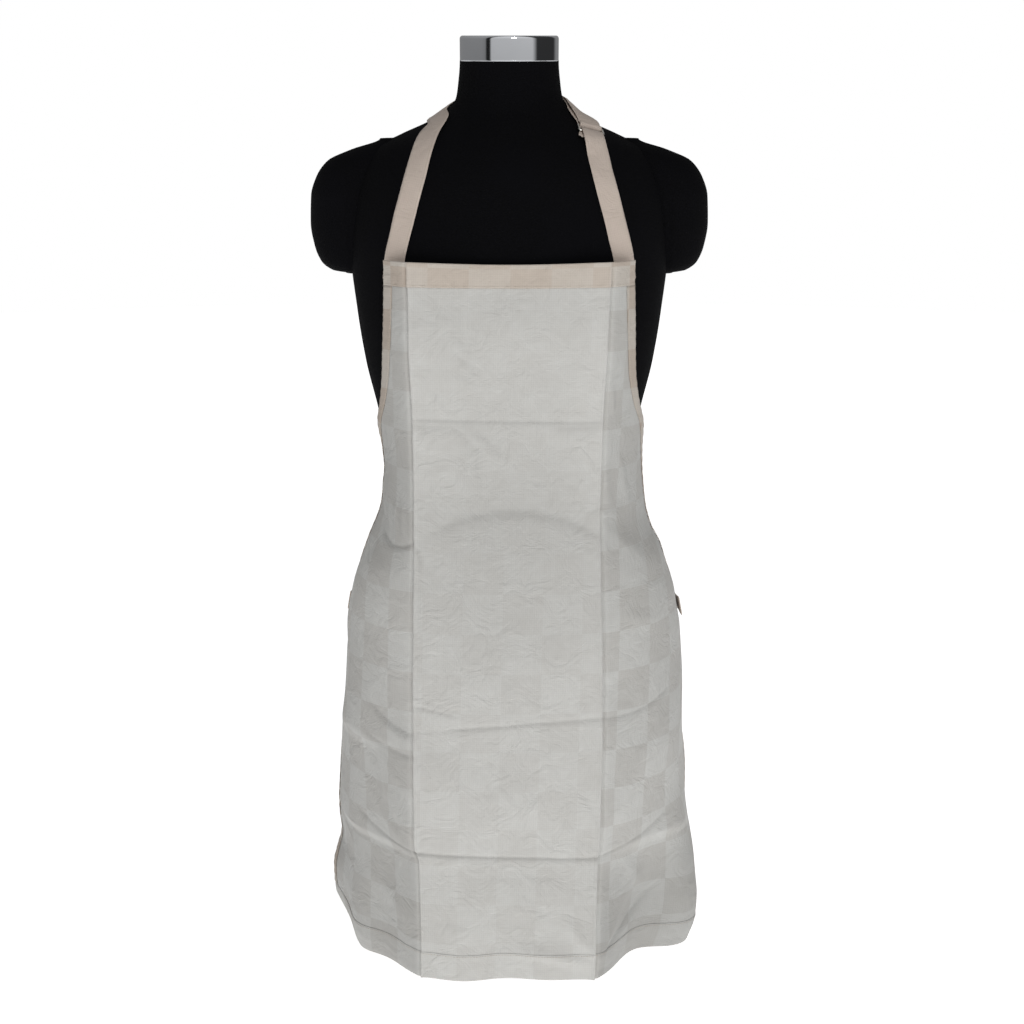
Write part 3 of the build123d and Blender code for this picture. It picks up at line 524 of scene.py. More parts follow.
grooves = [     # start, end, depth, width, sag, length of the fading ends
    ((-0.104, 0.6475), (0.100, 0.6445), 0.0020, 0.0030, 0, 0.006),
    ((-0.104, 0.6400), (-0.070, 0.6400), 0.0016, 0.0060, 0, 0.012),
    ((0.052, 0.6390), (0.096, 0.6390), 0.0018, 0.0060, 0, 0.012),
    ((-0.078, 0.5260), (0.100, 0.5180), 0.0026, 0.0075, 0.024, 0.030),
    ((-0.105, 0.3010), (-0.060, 0.3060), 0.0008, 0.0030, 0, 0.010),
    ((-0.062, 0.3060), (0.103, 0.3175), 0.0024, 0.0030, 0.001, 0.010),
    ((0.103, 0.3165), (0.205, 0.3340), 0.0022, 0.0034, -0.004, 0.014),
    ((-0.104, 0.3420), (-0.054, 0.3250), 0.0010, 0.0024, 0, 0.008),
    ((-0.104, 0.3310), (-0.060, 0.3220), 0.0022, 0.0024, 0, 0.008),
    ((-0.170, 0.3260), (-0.108, 0.2970), 0.0030, 0.0034, -0.003, 0.012),
    ((-0.176, 0.2900), (-0.108, 0.2720), 0.0030, 0.0034, -0.003, 0.012),
    ((-0.205, 0.1880), (-0.106, 0.1600), 0.0030, 0.0034, -0.004, 0.012),
    ((-0.106, 0.1600), (0.100, 0.1550), 0.0032, 0.0032, 0, 0.006),
    ((0.100, 0.1560), (0.205, 0.1850), 0.0024, 0.0034, -0.003, 0.014),
    ((-0.050, 0.1350), (0.062, 0.1330), 0.0008, 0.0030, 0, 0.014),
    ((-0.098, 0.0755), (0.014, 0.0785), 0.0009, 0.0030, 0.004, 0.014),
    ((0.010, 0.1190), (0.042, 0.0900), 0.0014, 0.0026, 0, 0.008),
    ((0.112, 0.0440), (0.186, 0.0880), 0.0036, 0.0050, -0.004, 0.016),
    ((0.078, 0.2320), (0.098, 0.1950), 0.0012, 0.0030, 0.003, 0.008),
    ((-0.064, 0.7460), (-0.040, 0.7230), 0.0012, 0.0024, 0, 0.006),
    ((-0.057, 0.7190), (-0.032, 0.6990), 0.0014, 0.0024, 0, 0.006),
    ((-0.056, 0.6990), (-0.038, 0.6890), 0.0012, 0.0024, 0, 0.006),
    ((-0.062, 0.6400), (-0.030, 0.6080), 0.0018, 0.0034, 0, 0.010),
    ((-0.033, 0.6330), (-0.006, 0.6080), 0.0016, 0.0030, 0, 0.010),
    ((-0.038, 0.6080), (-0.034, 0.5820), 0.0012, 0.0030, 0, 0.010),
    ((-0.168, 0.5150), (-0.107, 0.5100), 0.0036, 0.0036, -0.009, 0.010),
    ((-0.103, 0.5080), (-0.097, 0.4880), 0.0022, 0.0026, 0, 0.006),
]
rolls = [       # start, end, height, width, sag
    ((-0.170, 0.2640), (-0.108, 0.1700), 0.0034, 0.0060, 0),
    ((-0.158, 0.2750), (-0.110, 0.2200), 0.0024, 0.0050, 0),
    ((-0.185, 0.2350), (-0.128, 0.1640), 0.0026, 0.0060, 0),
    ((-0.150, 0.1980), (-0.112, 0.1580), 0.0022, 0.0040, 0),
    ((-0.150, 0.3100), (-0.108, 0.2840), 0.0022, 0.0060, 0),
    ((-0.200, 0.1200), (-0.112, 0.0700), 0.0022, 0.0100, 0),
    ((-0.140, 0.1500), (-0.125, 0.0400), 0.0022, 0.0070, 0),
    ((-0.142, 0.5500), (-0.132, 0.5120), 0.0020, 0.0030, 0),
    ((-0.126, 0.5550), (-0.120, 0.5120), 0.0018, 0.0028, 0),
    ((-0.158, 0.5450), (-0.146, 0.5120), 0.0020, 0.0035, 0),
    ((0.108, 0.5900), (0.116, 0.5350), 0.0018, 0.0040, 0),
    ((0.114, 0.6820), (0.114, 0.6520), 0.0022, 0.0026, 0),
    ((0.124, 0.6100), (0.150, 0.5400), 0.0020, 0.0060, 0),
    ((0.106, 0.5300), (0.170, 0.4800), 0.0022, 0.0080, 0),
    ((0.150, 0.2700), (0.122, 0.1900), 0.0026, 0.0070, 0),
    ((0.118, 0.2450), (0.104, 0.1700), 0.0018, 0.0040, 0),
    ((0.104, 0.0300), (0.172, 0.1250), 0.0030, 0.0060, 0.006),
    ((0.106, 0.0250), (0.150, 0.1450), 0.0026, 0.0060, 0.006),
    ((0.130, 0.1550), (0.175, 0.1000), 0.0020, 0.0060, 0),
    ((0.120, 0.4300), (0.190, 0.4120), 0.0014, 0.0070, 0),
    ((-0.083, 0.6760), (-0.069, 0.6510), 0.0018, 0.0030, 0),
    ((-0.050, 0.6420), (-0.014, 0.5980), 0.0020, 0.0050, 0),
    ((0.020, 0.2100), (0.034, 0.2280), 0.0012, 0.0030, 0),
    ((0.060, 0.0900), (0.096, 0.0400), 0.0020, 0.0060, 0),
    ((-0.010, 0.0480), (0.094, 0.0300), 0.0024, 0.0060, 0.004),
]
random = np.random.default_rng(11)
swells = [(random.uniform(18, 95), random.uniform(0, 2 * math.pi), random.uniform(0, 2 * math.pi))
          for _ in range(26)]     # waves in a metre times 2 pi, direction, start


def apronRelief(u, z):
    # how far the cloth stands off its smooth hang: pressed lines, rolls, the two upright folds' ridges
    # and a sum of slow sine swells
    h = np.zeros(np.broadcast(u, z).shape)
    for start, end, depth, width, sag, ends in grooves:
        h += groove(u, z, start, end, depth, width, sag, ends)
    for start, end, height, width, sag in rolls:
        h += roll(u, z, start, end, height, width, sag)
    for side, line in zip((-1, 1), between(apron["lines"], z)):
        h += 0.0013 * bump(u - side * (line - 0.0006), 0.0011) - 0.0018 * bump(u - side * (line + 0.0030), 0.0013)
    for rate, way, phase in swells:
        c, s = math.cos(way), math.sin(way)
        bend = 0.6 * np.sin(0.5 * rate * (u * s - z * c) + phase * 3)
        h += 0.0072 / rate * np.sin(rate * (u * c + z * s) + phase + bend)
    return h


def heading(u, z, side):
    # the cloth's direction in plan, in radians, at a cloth distance u from the middle on one side:
    # a slow curve, a sharp turn at the pressed fold, then an even curve that meets the outer reach
    line = between(apron["lines"], z)[0 if side < 0 else 1]
    turnLeft, turnRight, slope = between(apron["fold"], z)
    turn, slope = np.radians(turnLeft if side < 0 else turnRight), np.radians(slope)
    reach = between(apron["reach"], z)[0 if side < 0 else 1]
    past = np.maximum(u - line, 0.0)
    rate = (1 - np.sin(np.minimum(slope + turn, 1.45))) / np.maximum(reach - line * (1 - slope ** 2 / 10), 0.01)
    bend = (slope * np.minimum(u / line, 1.0) ** 2
            + turn * smooth(-apron["foldWidth"], apron["foldWidth"], u - line) + rate * past)
    if side > 0:    # the deep upright fold low on the right, drifting outwards as it climbs
        depth, where = 1 - smooth(0.070, 0.215, z), 0.116 - 0.05 * np.maximum(z - 0.012, 0)
        return bend + depth * (0.62 * smooth(where, where + 0.07, past) - 0.92 * bump(past - where, 0.026))
    depth = 1 - smooth(0.03, 0.26, z)
    return bend + depth * (0.16 * bump(past - 0.035, 0.022) - 0.26 * bump(past - 0.085, 0.024)
                           + 0.16 * bump(past - 0.140, 0.022))


def formReach(points, gap):
    # 1 on the form's skin moved out by gap, less inside it, more outside it
    half, front, back, square = between(formShape["stations"], points[..., 2])
    middle, depth = (back - front) / 2, (back + front) / 2
    return ((np.abs(points[..., 0]) / (half + gap)) ** square
            + (np.abs(points[..., 1] - middle) / (depth + gap)) ** square), middle, square


def pushOff(points, gap):
    # moves points that are nearer than gap to the form straight out of it, away from its axis
    reach, middle, square = formReach(points, gap)
    scale = np.maximum(np.maximum(reach, 1e-6) ** (-1 / square), 1.0)
    scale = np.where(points[..., 2] > formShape["bottom"] - 0.02, scale, 1.0)
    return np.stack([points[..., 0] * scale, (points[..., 1] - middle) * scale + middle, points[..., 2]], -1)


def gridNormals(points):
    # cross product of the grid's two directions
    return unit(np.cross(np.gradient(points, axis=0), np.gradient(points, axis=1)))


def layCloth(z, u):
    # points of the cloth at heights z and cloth distances u (rows by columns): x and y are running sums of the
    # cosine and sine of the heading along each row
    far = between(apron["cut"], z)[0] + 0.002
    fine = np.linspace(0, 1, 700)
    rows = np.arange(len(z))[:, None]
    x, y = np.zeros_like(u), np.zeros_like(u)
    for side in (-1, 1):
        s = fine[None, :] * far[:, None]
        angle = heading(s, z[:, None], side)
        angle = (angle[:, 1:] + angle[:, :-1]) / 2
        run = np.concatenate([np.zeros((len(z), 1, 2)),
                              np.cumsum(np.stack([np.cos(angle), np.sin(angle)], -1) * np.diff(s)[..., None], 1)], 1)
        # past the fold the row is widened or narrowed a little so that it just meets its outer reach
        line, reach = (between(apron[table], z)[0 if side < 0 else 1] for table in ("lines", "reach"))
        widest = run[..., 0].max(1)
        fit = (reach - line) / np.maximum(widest - line, 0.01)
        stretch = (1 + (fit - 1) * smooth(0.0, 0.07, far - reach))[:, None]
        line = line[:, None]
        run[..., 0] = np.where(run[..., 0] > line, line + (run[..., 0] - line) * stretch, run[..., 0])
        index = np.clip(np.abs(u) / far[:, None] * (len(fine) - 1), 0, len(fine) - 1.001)
        low = index.astype(int)
        t = (index - low)[..., None]
        place = run[rows, low] * (1 - t) + run[rows, low + 1] * t
        x = np.where(u * side >= 0, side * place[..., 0], x)
        y = np.where(u * side >= 0, place[..., 1], y)
    y = y + between(apron["front"], z)[0][:, None]
    # the hem dips and lifts a little as it goes round, and the bib's top edge sags in the middle
    nearHem = 1 - smooth(0.0, 0.16, z)[:, None]
    lift = (0.0018 * np.sin(u * 38 + 0.8) + 0.0013 * np.sin(u * 71 + 2.0) - 0.0030 * bump(u + 0.19, 0.05)
            + 0.006 * smooth(0.24, 0.32, np.abs(u)))
    sag = 0.0025 * smooth(0.78, 0.819, z)[:, None] * np.cos(np.clip(u / 0.14, -1, 1) * math.pi / 2) ** 2
    points = np.stack([x, y, z[:, None] + nearHem * lift - sag], -1)
    stiff = 0.3 + 0.7 * smooth(0.0, 0.010, apron["top"] - z)[:, None]
    return pushOff(points + outward(points) * (apronRelief(u, z[:, None]) * stiff)[..., None], apron["clear"])


def outward(points):
    # normals that look away from the form, whether the rows run down or up the cloth
    return gridNormals(points) * (1 if points[0, 0, 2] >= points[-1, 0, 2] else -1)


def apronColumns(z):
    # cloth distances of every column: dense at the pressed folds, spread evenly towards the edges
    left, right = (side * line[:, None] for side, line in zip((-1, 1), between(apron["lines"], z)))
    outer = between(apron["cut"], z)[0][:, None]
    edge = apron["foldEdge"]
    t = np.linspace(-1, 1, apron["middleColumns"])
    middle = (left + right) / 2 + (right - left) / 2 * np.sign(t) * (1 - (1 - np.abs(t)) ** 1.35)
    fold = np.linspace(0, edge, apron["foldColumns"])[1:]
    side = np.linspace(0, 1, apron["sideColumns"])[1:]
    return np.concatenate([(left - edge - (outer - edge + left) * side)[:, ::-1], left - fold[::-1], middle,
                           right + fold, right + edge + (outer - edge - right) * side], 1)


def apronRows():
    # heights of the rows, closer together where the pressed lines cross
    fine = np.linspace(apron["hem"], apron["top"], 4000)
    density = (1 + 3.0 * bump(fine - 0.158, 0.010) + 1.3 * bump(fine - 0.310, 0.040) + 1.0 * bump(fine - 0.172, 0.02)
               + 1.2 * bump(fine - 0.508, 0.010) + 2.5 * bump(fine - 0.645, 0.007) + 0.5 * bump(fine - 0.70, 0.03))
    share = np.cumsum(density)
    share = (share - share[0]) / (share[-1] - share[0])
    return np.interp(np.linspace(1, 0, apron["rows"]), share, fine)


def addAttribute(piece, name, values):
    piece.data.attributes.new(name, "FLOAT", "POINT").data.foreach_set("value", np.asarray(values, np.float32).ravel())


def thicken(points, thickness, normals):
    # a closed sheet: outer face, inner face and the rim between them, as points and quads
    rows, columns = points.shape[:2]
    n = rows * columns
    face = gridFaces(rows, columns)
    index = np.arange(n).reshape(rows, columns)
    ring = np.concatenate([index[0, :-1], index[:-1, -1], index[-1, :0:-1], index[:0:-1, 0]])
    following = np.roll(ring, -1)
    rim = np.stack([ring, ring + n, following + n, following], -1)
    both = np.concatenate([points.reshape(-1, 3), (points - normals * thickness).reshape(-1, 3)])
    return both, np.concatenate([face, face[:, ::-1] + n, rim])


heightTable = np.linspace(apron["hem"], apron["top"], 400)
middleLine = layCloth(heightTable, np.zeros((400, 1)) + np.array([-0.001, 0, 0.001]))[:, 1]
lengthTable = np.concatenate([[0], np.cumsum(np.linalg.norm(np.diff(middleLine, axis=0), axis=1))])
clothLength = float(lengthTable[-1])


def clothPiece(name, z, u, finish, cadNode, rise=0.0, thickness=apron["thickness"]):
    # a piece of the apron on a grid of heights z and cloth distances u, raised off the panel by rise
    points = layCloth(z, u)
    normals = outward(points)
    points = points + normals * (rise + 0 * u)[..., None]
    fallen = clothLength - np.interp(z, heightTable, lengthTable)
    # the place on the flat cloth: across, leaning by the skew, and down from the top
    uv = np.stack([u + apron["skew"] * fallen[:, None], -fallen[:, None] + 0 * u], -1).reshape(-1, 2)
    both, faces = thicken(points, thickness, normals)
    piece = makeMesh(name, both, faces, np.concatenate([uv, uv]), finish, flip=True)
    reach = formReach(points, 0.0)[0]
    backing = smooth(-1.55, -1.10, -reach) * smooth(0.235, 0.300, points[..., 2])
    left, right = between(apron["lines"], z)
    past = np.where(u < 0, -u - left[:, None], u - right[:, None])
    # painted sheen: dark and light squares change places past the folds, where they also stand out more, and their
    # strength changes with height, standing in for the way a satin damask's squares catch the light; the squares
    # themselves are woven
    squares = (0.30 + 0.5 * smooth(-0.54, -0.44, -z) + 0.7 * smooth(0.785, 0.795, z))[:, None] + 0 * u
    squares = squares - smooth(-0.001, 0.002, past) * (squares + 2.1)
    # painted shade past the pressed folds, taken from the shade table
    dim = np.where(u < 0, *(value[:, None] for value in between(apron["shade"], z)))
    shade = (1 - dim) * smooth(-0.0005, 0.0120, past)
    # painted shade: darker where the relief is pressed in, and just past each pressed fold
    pressed = sum(groove(u, z[:, None], *line) for line in grooves)
    creaseShade = np.clip(-pressed / 0.0022, 0, 1) + 0.6 * bump(past - 0.0030, 0.0014)
    for label, values in (("backing", backing), ("squares", squares), ("shade", shade), ("creaseShade", creaseShade)):
        addAttribute(piece, label, np.concatenate([values.ravel(), values.ravel()]))
    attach(piece, "form")
    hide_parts(cadNode)
    return piece


hems = {"gap": 0.0003, "thickness": 0.0007, "puckerPitch": 0.011, "pucker": 0.00022, "flat": 0.45,
        "edge": 0.0004}


def makeHems():
    # folded hems: the cloth's own edge doubled, a little proud of the panel, puckered beside the stitching;
    # the bottom hem is pressed flatter than the others, by the share "flat"
    rise, edge, flat = hems["gap"] + hems["thickness"], hems["edge"], hems["flat"]
    belowTop, aboveFoot = apron["top"] - apron["topHem"], apron["hem"] + apron["bottomHem"]
    z = np.linspace(apron["top"] + edge, belowTop, 18)
    u = apronColumns(z)
    waves = hems["pucker"] * np.sin(u * 2 * math.pi / hems["puckerPitch"])
    lifted = rise + waves * bump(z[:, None] - belowTop - 0.004, 0.004)
    pieces = [clothPiece("topHem", z, u, cottonHem, "top_hem", lifted, hems["thickness"])]
    z = np.linspace(aboveFoot - edge, apron["hem"] - edge, 20)
    z = np.concatenate([[z[0] + edge], z])
    u = apronColumns(z)
    waves = 0.6 * hems["pucker"] * np.sin(u * 2 * math.pi / 0.017 + 1.5 * np.sin(u * 60))
    lifted = flat * rise + waves * bump(aboveFoot - z[:, None] - 0.007, 0.005)
    pieces.append(clothPiece("bottomHem", z, u, cottonPanel, "bottom_hem", lifted, flat * hems["thickness"]))
    z = np.linspace(belowTop - 0.0003, aboveFoot + 0.0003, 260)
    cut = between(apron["cut"], z)[0][:, None]
    waves = hems["pucker"] * np.sin(z[:, None] * 2 * math.pi / hems["puckerPitch"])
    for side, label in ((-1, "Left"), (1, "Right")):
        u = np.sort(side * (cut + 0.0003 - apron["sideHem"] * np.linspace(0, 1, 8)), axis=1)
        pieces.append(clothPiece(f"sideHem{label}", z, u, cottonHem, f"side_hem_{label.lower()}", rise + waves,
                                 hems["thickness"]))
    return pieces


rows = apronRows()
panel = clothPiece("apronPanel", rows, apronColumns(rows), cottonPanel, "apron_panel")
hemPieces = makeHems()


stitching = {"pitch": 0.0032, "gap": 0.0009, "radius": 0.00022, "tapeRadius": 0.00020, "tapeLift": 0.00012,
             "sides": 6, "inset": 0.0020}


def capsules(starts, ends, radius):
    # a small tube with closed, pointed ends between each pair of points
    sides = stitching["sides"]
    axis = unit(ends - starts)
    up = unit(np.cross(axis, np.where(np.abs(axis[:, 2:]) > 0.8, [[1.0, 0, 0]], [[0, 0, 1.0]])))
    over = np.cross(axis, up)
    turn = np.linspace(0, 2 * math.pi, sides + 1)[:-1]
    circle = (np.cos(turn)[None, :, None] * up[:, None] + np.sin(turn)[None, :, None] * over[:, None]) * radius
    length = np.linalg.norm(ends - starts, axis=1)[:, None, None]
    rings = [starts[:, None] + axis[:, None] * (length * t) + circle * size
             for t, size in ((0.0, 0.15), (0.12, 0.8), (0.5, 1.0), (0.88, 0.8), (1.0, 0.15))]
    grid = np.stack(rings, 1)                                   # stitch, ring, corner
    count = grid.shape[1] * sides
    faces = gridFaces(grid.shape[1], sides, True)
    caps = np.array([[0, sides - 1, sides - 2, sides - 3], [0, sides - 3, 2, 1]])
    far = (grid.shape[1] - 1) * sides
    caps = np.concatenate([caps, far + np.array([[0, 1, 2, sides - 3], [0, sides - 3, sides - 2, sides - 1]])])
    faces = np.concatenate([faces, caps])
    offsets = (np.arange(len(starts)) * count)[:, None, None]
    return grid.reshape(-1, 3), (faces[None] + offsets).reshape(-1, 4)


def stitchPath(points, normals, lift):
    # ends of the stitches along a path, lifted off the cloth
    along = np.concatenate([[0], np.cumsum(np.linalg.norm(np.diff(points, axis=0), axis=1))])
    count = int(along[-1] / stitching["pitch"])
    first = np.arange(count) * stitching["pitch"]
    place = lambda s: np.stack([np.interp(s, along, (points + normals * lift)[:, k]) for k in range(3)], -1)
    return place(first), place(first + stitching["pitch"] - stitching["gap"])


def panelLine(zs, us, lift):
    # a stitched line on the panel: the cloth is laid at the line and just beside it to find its outward side
    if np.ptp(zs) == 0:
        points = layCloth(zs[0] + np.array([0.0008, 0, -0.0008]), np.tile(us, (3, 1)))
        return stitchPath(points[1], outward(points)[1], lift)
    points = layCloth(zs, us[:, None] + np.array([-0.0008, 0, 0.0008]))
    return stitchPath(points[:, 1], outward(points)[:, 1], lift)


def makeStitches():
    # four rows of stitches, each just inside a hem's inner edge
    onHem, inset = hems["gap"] + hems["thickness"] + 0.0001, stitching["inset"]
    belowTop, aboveFoot, lines = apron["top"] - apron["topHem"], apron["hem"] + apron["bottomHem"], []
    for height, count, lift in ((belowTop + inset, 700, onHem), (aboveFoot - inset, 1400, 0.5 * onHem)):
        cut = float(between(apron["cut"], np.array([height]))[0][0])
        lines.append(panelLine(np.full(count, height), np.linspace(-cut, cut, count) * 0.995, lift))
    zs = np.linspace(belowTop, aboveFoot, 1400)
    for side in (-1, 1):
        lines.append(panelLine(zs, side * (between(apron["cut"], zs)[0] - apron["sideHem"] + inset), onHem))
    starts, ends = (np.concatenate([line[k] for line in lines]) for k in (0, 1))
    points, faces = capsules(starts, ends, stitching["radius"])
    seams = makeMesh("hemStitches", points, faces, material=thread)
    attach(seams, "form")
    return seams


hemStitches = makeStitches()
print("hems sewn")

# Straps, ties and bow.

straps = {
    "width": 0.025, "thickness": 0.0012, "step": 0.0015, "columns": 13, "crown": 0.00035, "edgeStitch": 0.0024,
    "bibX": 0.121, "nape": 0.984, "ringWire": 0.00125, "ringLength": 0.013, "ringX": 0.086, "ringHeight": 0.950,
    "ringOutset": 0.0042, "sliderAngle": 152, "sliderOutset": 0.0115, "sliderReach": 0.030, "sliderBar": 0.0010,
    "sliderGap": 0.0003, "rollRadius": 0.0034, "shortLoop": 0.0021,
}


def onSkin(*stops):
    # path stops off the form's skin: each height, angle and distance gives a point and the outward direction
    table = np.array(stops, float)
    normal = skinNormal(table[:, 0], table[:, 1])
    return np.concatenate([skinPoint(table[:, 0], table[:, 1]) + normal * table[:, 2:], normal], 1)


def upChest(side, height, x, off):
    return height, side * float(skinAngle(x, height)), off


def facing(points, normal):
    # the same outward direction at every point
    points = np.atleast_2d(points)
    return np.concatenate([points, np.broadcast_to(unit(np.asarray(normal, float)), points.shape)], 1)


def splinePath(stops, step):
    # smooth path through the stops: cubic pieces whose end slopes are the chord from stop to stop, then points
    # spaced evenly along it, with the directions blended between stops and squared to the path
    points, normals = stops[:, :3], stops[:, 3:]
    chord = np.linalg.norm(np.diff(points, axis=0), axis=1)
    s = np.concatenate([[0], np.cumsum(chord)])
    slope = np.gradient(points, s, axis=0)
    fine = np.linspace(0, s[-1], max(40, int(s[-1] / step * 6)))
    i = np.clip(np.searchsorted(s, fine, side="right") - 1, 0, len(s) - 2)
    h, t = chord[i][:, None], ((fine - s[i]) / chord[i])[:, None]
    curve = (points[i] * (1 + 2 * t) * (1 - t) ** 2 + points[i + 1] * t * t * (3 - 2 * t)
             + h * slope[i] * t * (1 - t) ** 2 - h * slope[i + 1] * t * t * (1 - t))
    looks = normals[i] * (1 - t) + normals[i + 1] * t
    run = np.concatenate([[0], np.cumsum(np.linalg.norm(np.diff(curve, axis=0), axis=1))])
    even = np.linspace(0, run[-1], max(8, int(run[-1] / step)))
    take = lambda values: np.stack([np.interp(even, run, values[:, k]) for k in range(3)], -1)
    centre, look = take(curve), take(looks)
    ahead = unit(np.gradient(centre, axis=0))
    look = unit(look - ahead * (look * ahead).sum(1, keepdims=True))
    return centre, ahead, look, even


def ribbon(name, stops, width, nodes, body="form", widths=None, ripple=0.00025, twist=None, pleats=0.0, fray=0.0,
           seed=3):
    # a tape carried along a path: flat across apart from a slight crown, pleats and slow ripples
    centre, ahead, look, even = splinePath(stops, straps["step"])
    if twist is not None:
        angle = np.radians(np.interp(even / even[-1], *zip(*twist)))[:, None]
        look = look * np.cos(angle) + np.cross(ahead, look) * np.sin(angle)
    over = np.cross(ahead, look)
    v = np.linspace(-1, 1, straps["columns"])
    half = width / 2 * (np.interp(even / even[-1], *zip(*widths)) if widths else np.ones(len(even)))
    phase = np.random.default_rng(seed).uniform(0, 2 * math.pi, 4)
    down = even[:, None]
    waves = np.sin(down * 130 + v * 1.3 + phase[0]) + 0.7 * np.sin(down * 57 - v * 2 + phase[1])
    lift = straps["crown"] * (1 - v[None] ** 2) + ripple * waves
    lift = lift * smooth(0, 0.010, even)[:, None] * smooth(0, 0.010, even[-1] - even)[:, None]
    gather = np.maximum(1 - half / (width / 2), 0)[:, None]
    lift = lift + pleats * (gather + 0.12) * np.cos(v[None] * 2.5 * math.pi + phase[2])
    ends = fray * np.sin(v * 23 + phase[3]) * smooth(-0.0035, 0.0, even - even[-1])[:, None]
    grid = (centre[:, None] + over[:, None] * (half[:, None] * v)[..., None] + look[:, None] * lift[..., None]
            + ahead[:, None] * ends[..., None])
    if body == "form" and width == straps["width"]:
        grid = pushOff(grid, 0.0012)
    normals = unit(np.cross(np.gradient(grid, axis=0), np.gradient(grid, axis=1)))
    normals = normals * np.sign((normals * look[:, None]).sum(-1, keepdims=True))
    eased = straps["thickness"] * (1 - 0.55 * np.abs(v) ** 12)
    top = grid + normals * (eased / 2)[None, :, None]
    both, faces = thicken(top, eased[None, :, None], normals)
    uv = np.stack([half[:, None] * v, even[:, None] + 0 * v], -1).reshape(-1, 2)
    piece = makeMesh(name, both, faces, np.concatenate([uv, uv]), cottonTape)
    settleFaces(piece)
    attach(piece, body)
    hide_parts(*nodes)
    rails = []
    for place in (-1 + straps["edgeStitch"] / (width / 2), 1 - straps["edgeStitch"] / (width / 2)):
        column = int(np.clip(np.searchsorted(v, place) - 1, 0, len(v) - 2))
        share = (place - v[column]) / (v[column + 1] - v[column])
        rails.append((top[:, column] * (1 - share) + top[:, column + 1] * share, look))
    return piece, float(even[-1]), rails


def settleFaces(piece):
    # turns every face outwards
    mesh = bmesh.new()
    mesh.from_mesh(piece.data)
    bmesh.ops.recalc_face_normals(mesh, faces=mesh.faces)
    mesh.to_mesh(piece.data)
    mesh.free()


def railStitches(name, rails, body):
    starts, ends = zip(*[stitchPath(points, looks, stitching["tapeLift"]) for points, looks in rails])
    points, faces = capsules(np.concatenate(starts), np.concatenate(ends), stitching["tapeRadius"])
    piece = makeMesh(name, points, faces, material=thread)
    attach(piece, body)
    return piece


def axesAt(stop, below, above):
    # a plate's centre and its up, across and facing directions, from a stop on the skin and one on either side
    centre, face = onSkin(stop)[0, :3], onSkin(stop)[0, 3:]
    up = unit(onSkin(above)[0, :3] - onSkin(below)[0, :3])
    across = unit(np.cross(up, face))
    return centre, up, across, unit(np.cross(across, up))


ringCentre, ringUp, ringAcross, ringFace = axesAt(
    upChest(1, straps["ringHeight"], straps["ringX"], straps["ringOutset"]),
    upChest(1, straps["ringHeight"] - 0.015, straps["ringX"] + 0.0045, straps["ringOutset"]),
    upChest(1, straps["ringHeight"] + 0.013, straps["ringX"] - 0.006, straps["ringOutset"]))
barOffset = straps["ringLength"] / 2 - straps["ringWire"]
upperBar, lowerBar = ringCentre + ringUp * barOffset, ringCentre - ringUp * barOffset

sliderCentre, sliderFace = np.split(onSkin((straps["nape"], straps["sliderAngle"], straps["sliderOutset"]))[0], 2)
sliderAlong = unit(skinPoint(straps["nape"], straps["sliderAngle"] + 1)
                   - skinPoint(straps["nape"], straps["sliderAngle"] - 1))
sliderAcross = unit(np.cross(sliderAlong, sliderFace))
sliderFace = unit(np.cross(sliderAcross, sliderAlong))
halfTape = straps["thickness"] / 2
barDrop = halfTape + straps["sliderGap"] + straps["thickness"] + straps["sliderGap"] + straps["sliderBar"]


def aroundBar(centre, radius, first, last, count, up, face):
    # stops on an arc round a bar: angles in degrees from the face direction towards up
    turn = np.radians(np.linspace(first, last, count))[:, None]
    away = np.cos(turn) * face + np.sin(turn) * up
    return np.concatenate([centre + away * radius, away], 1)


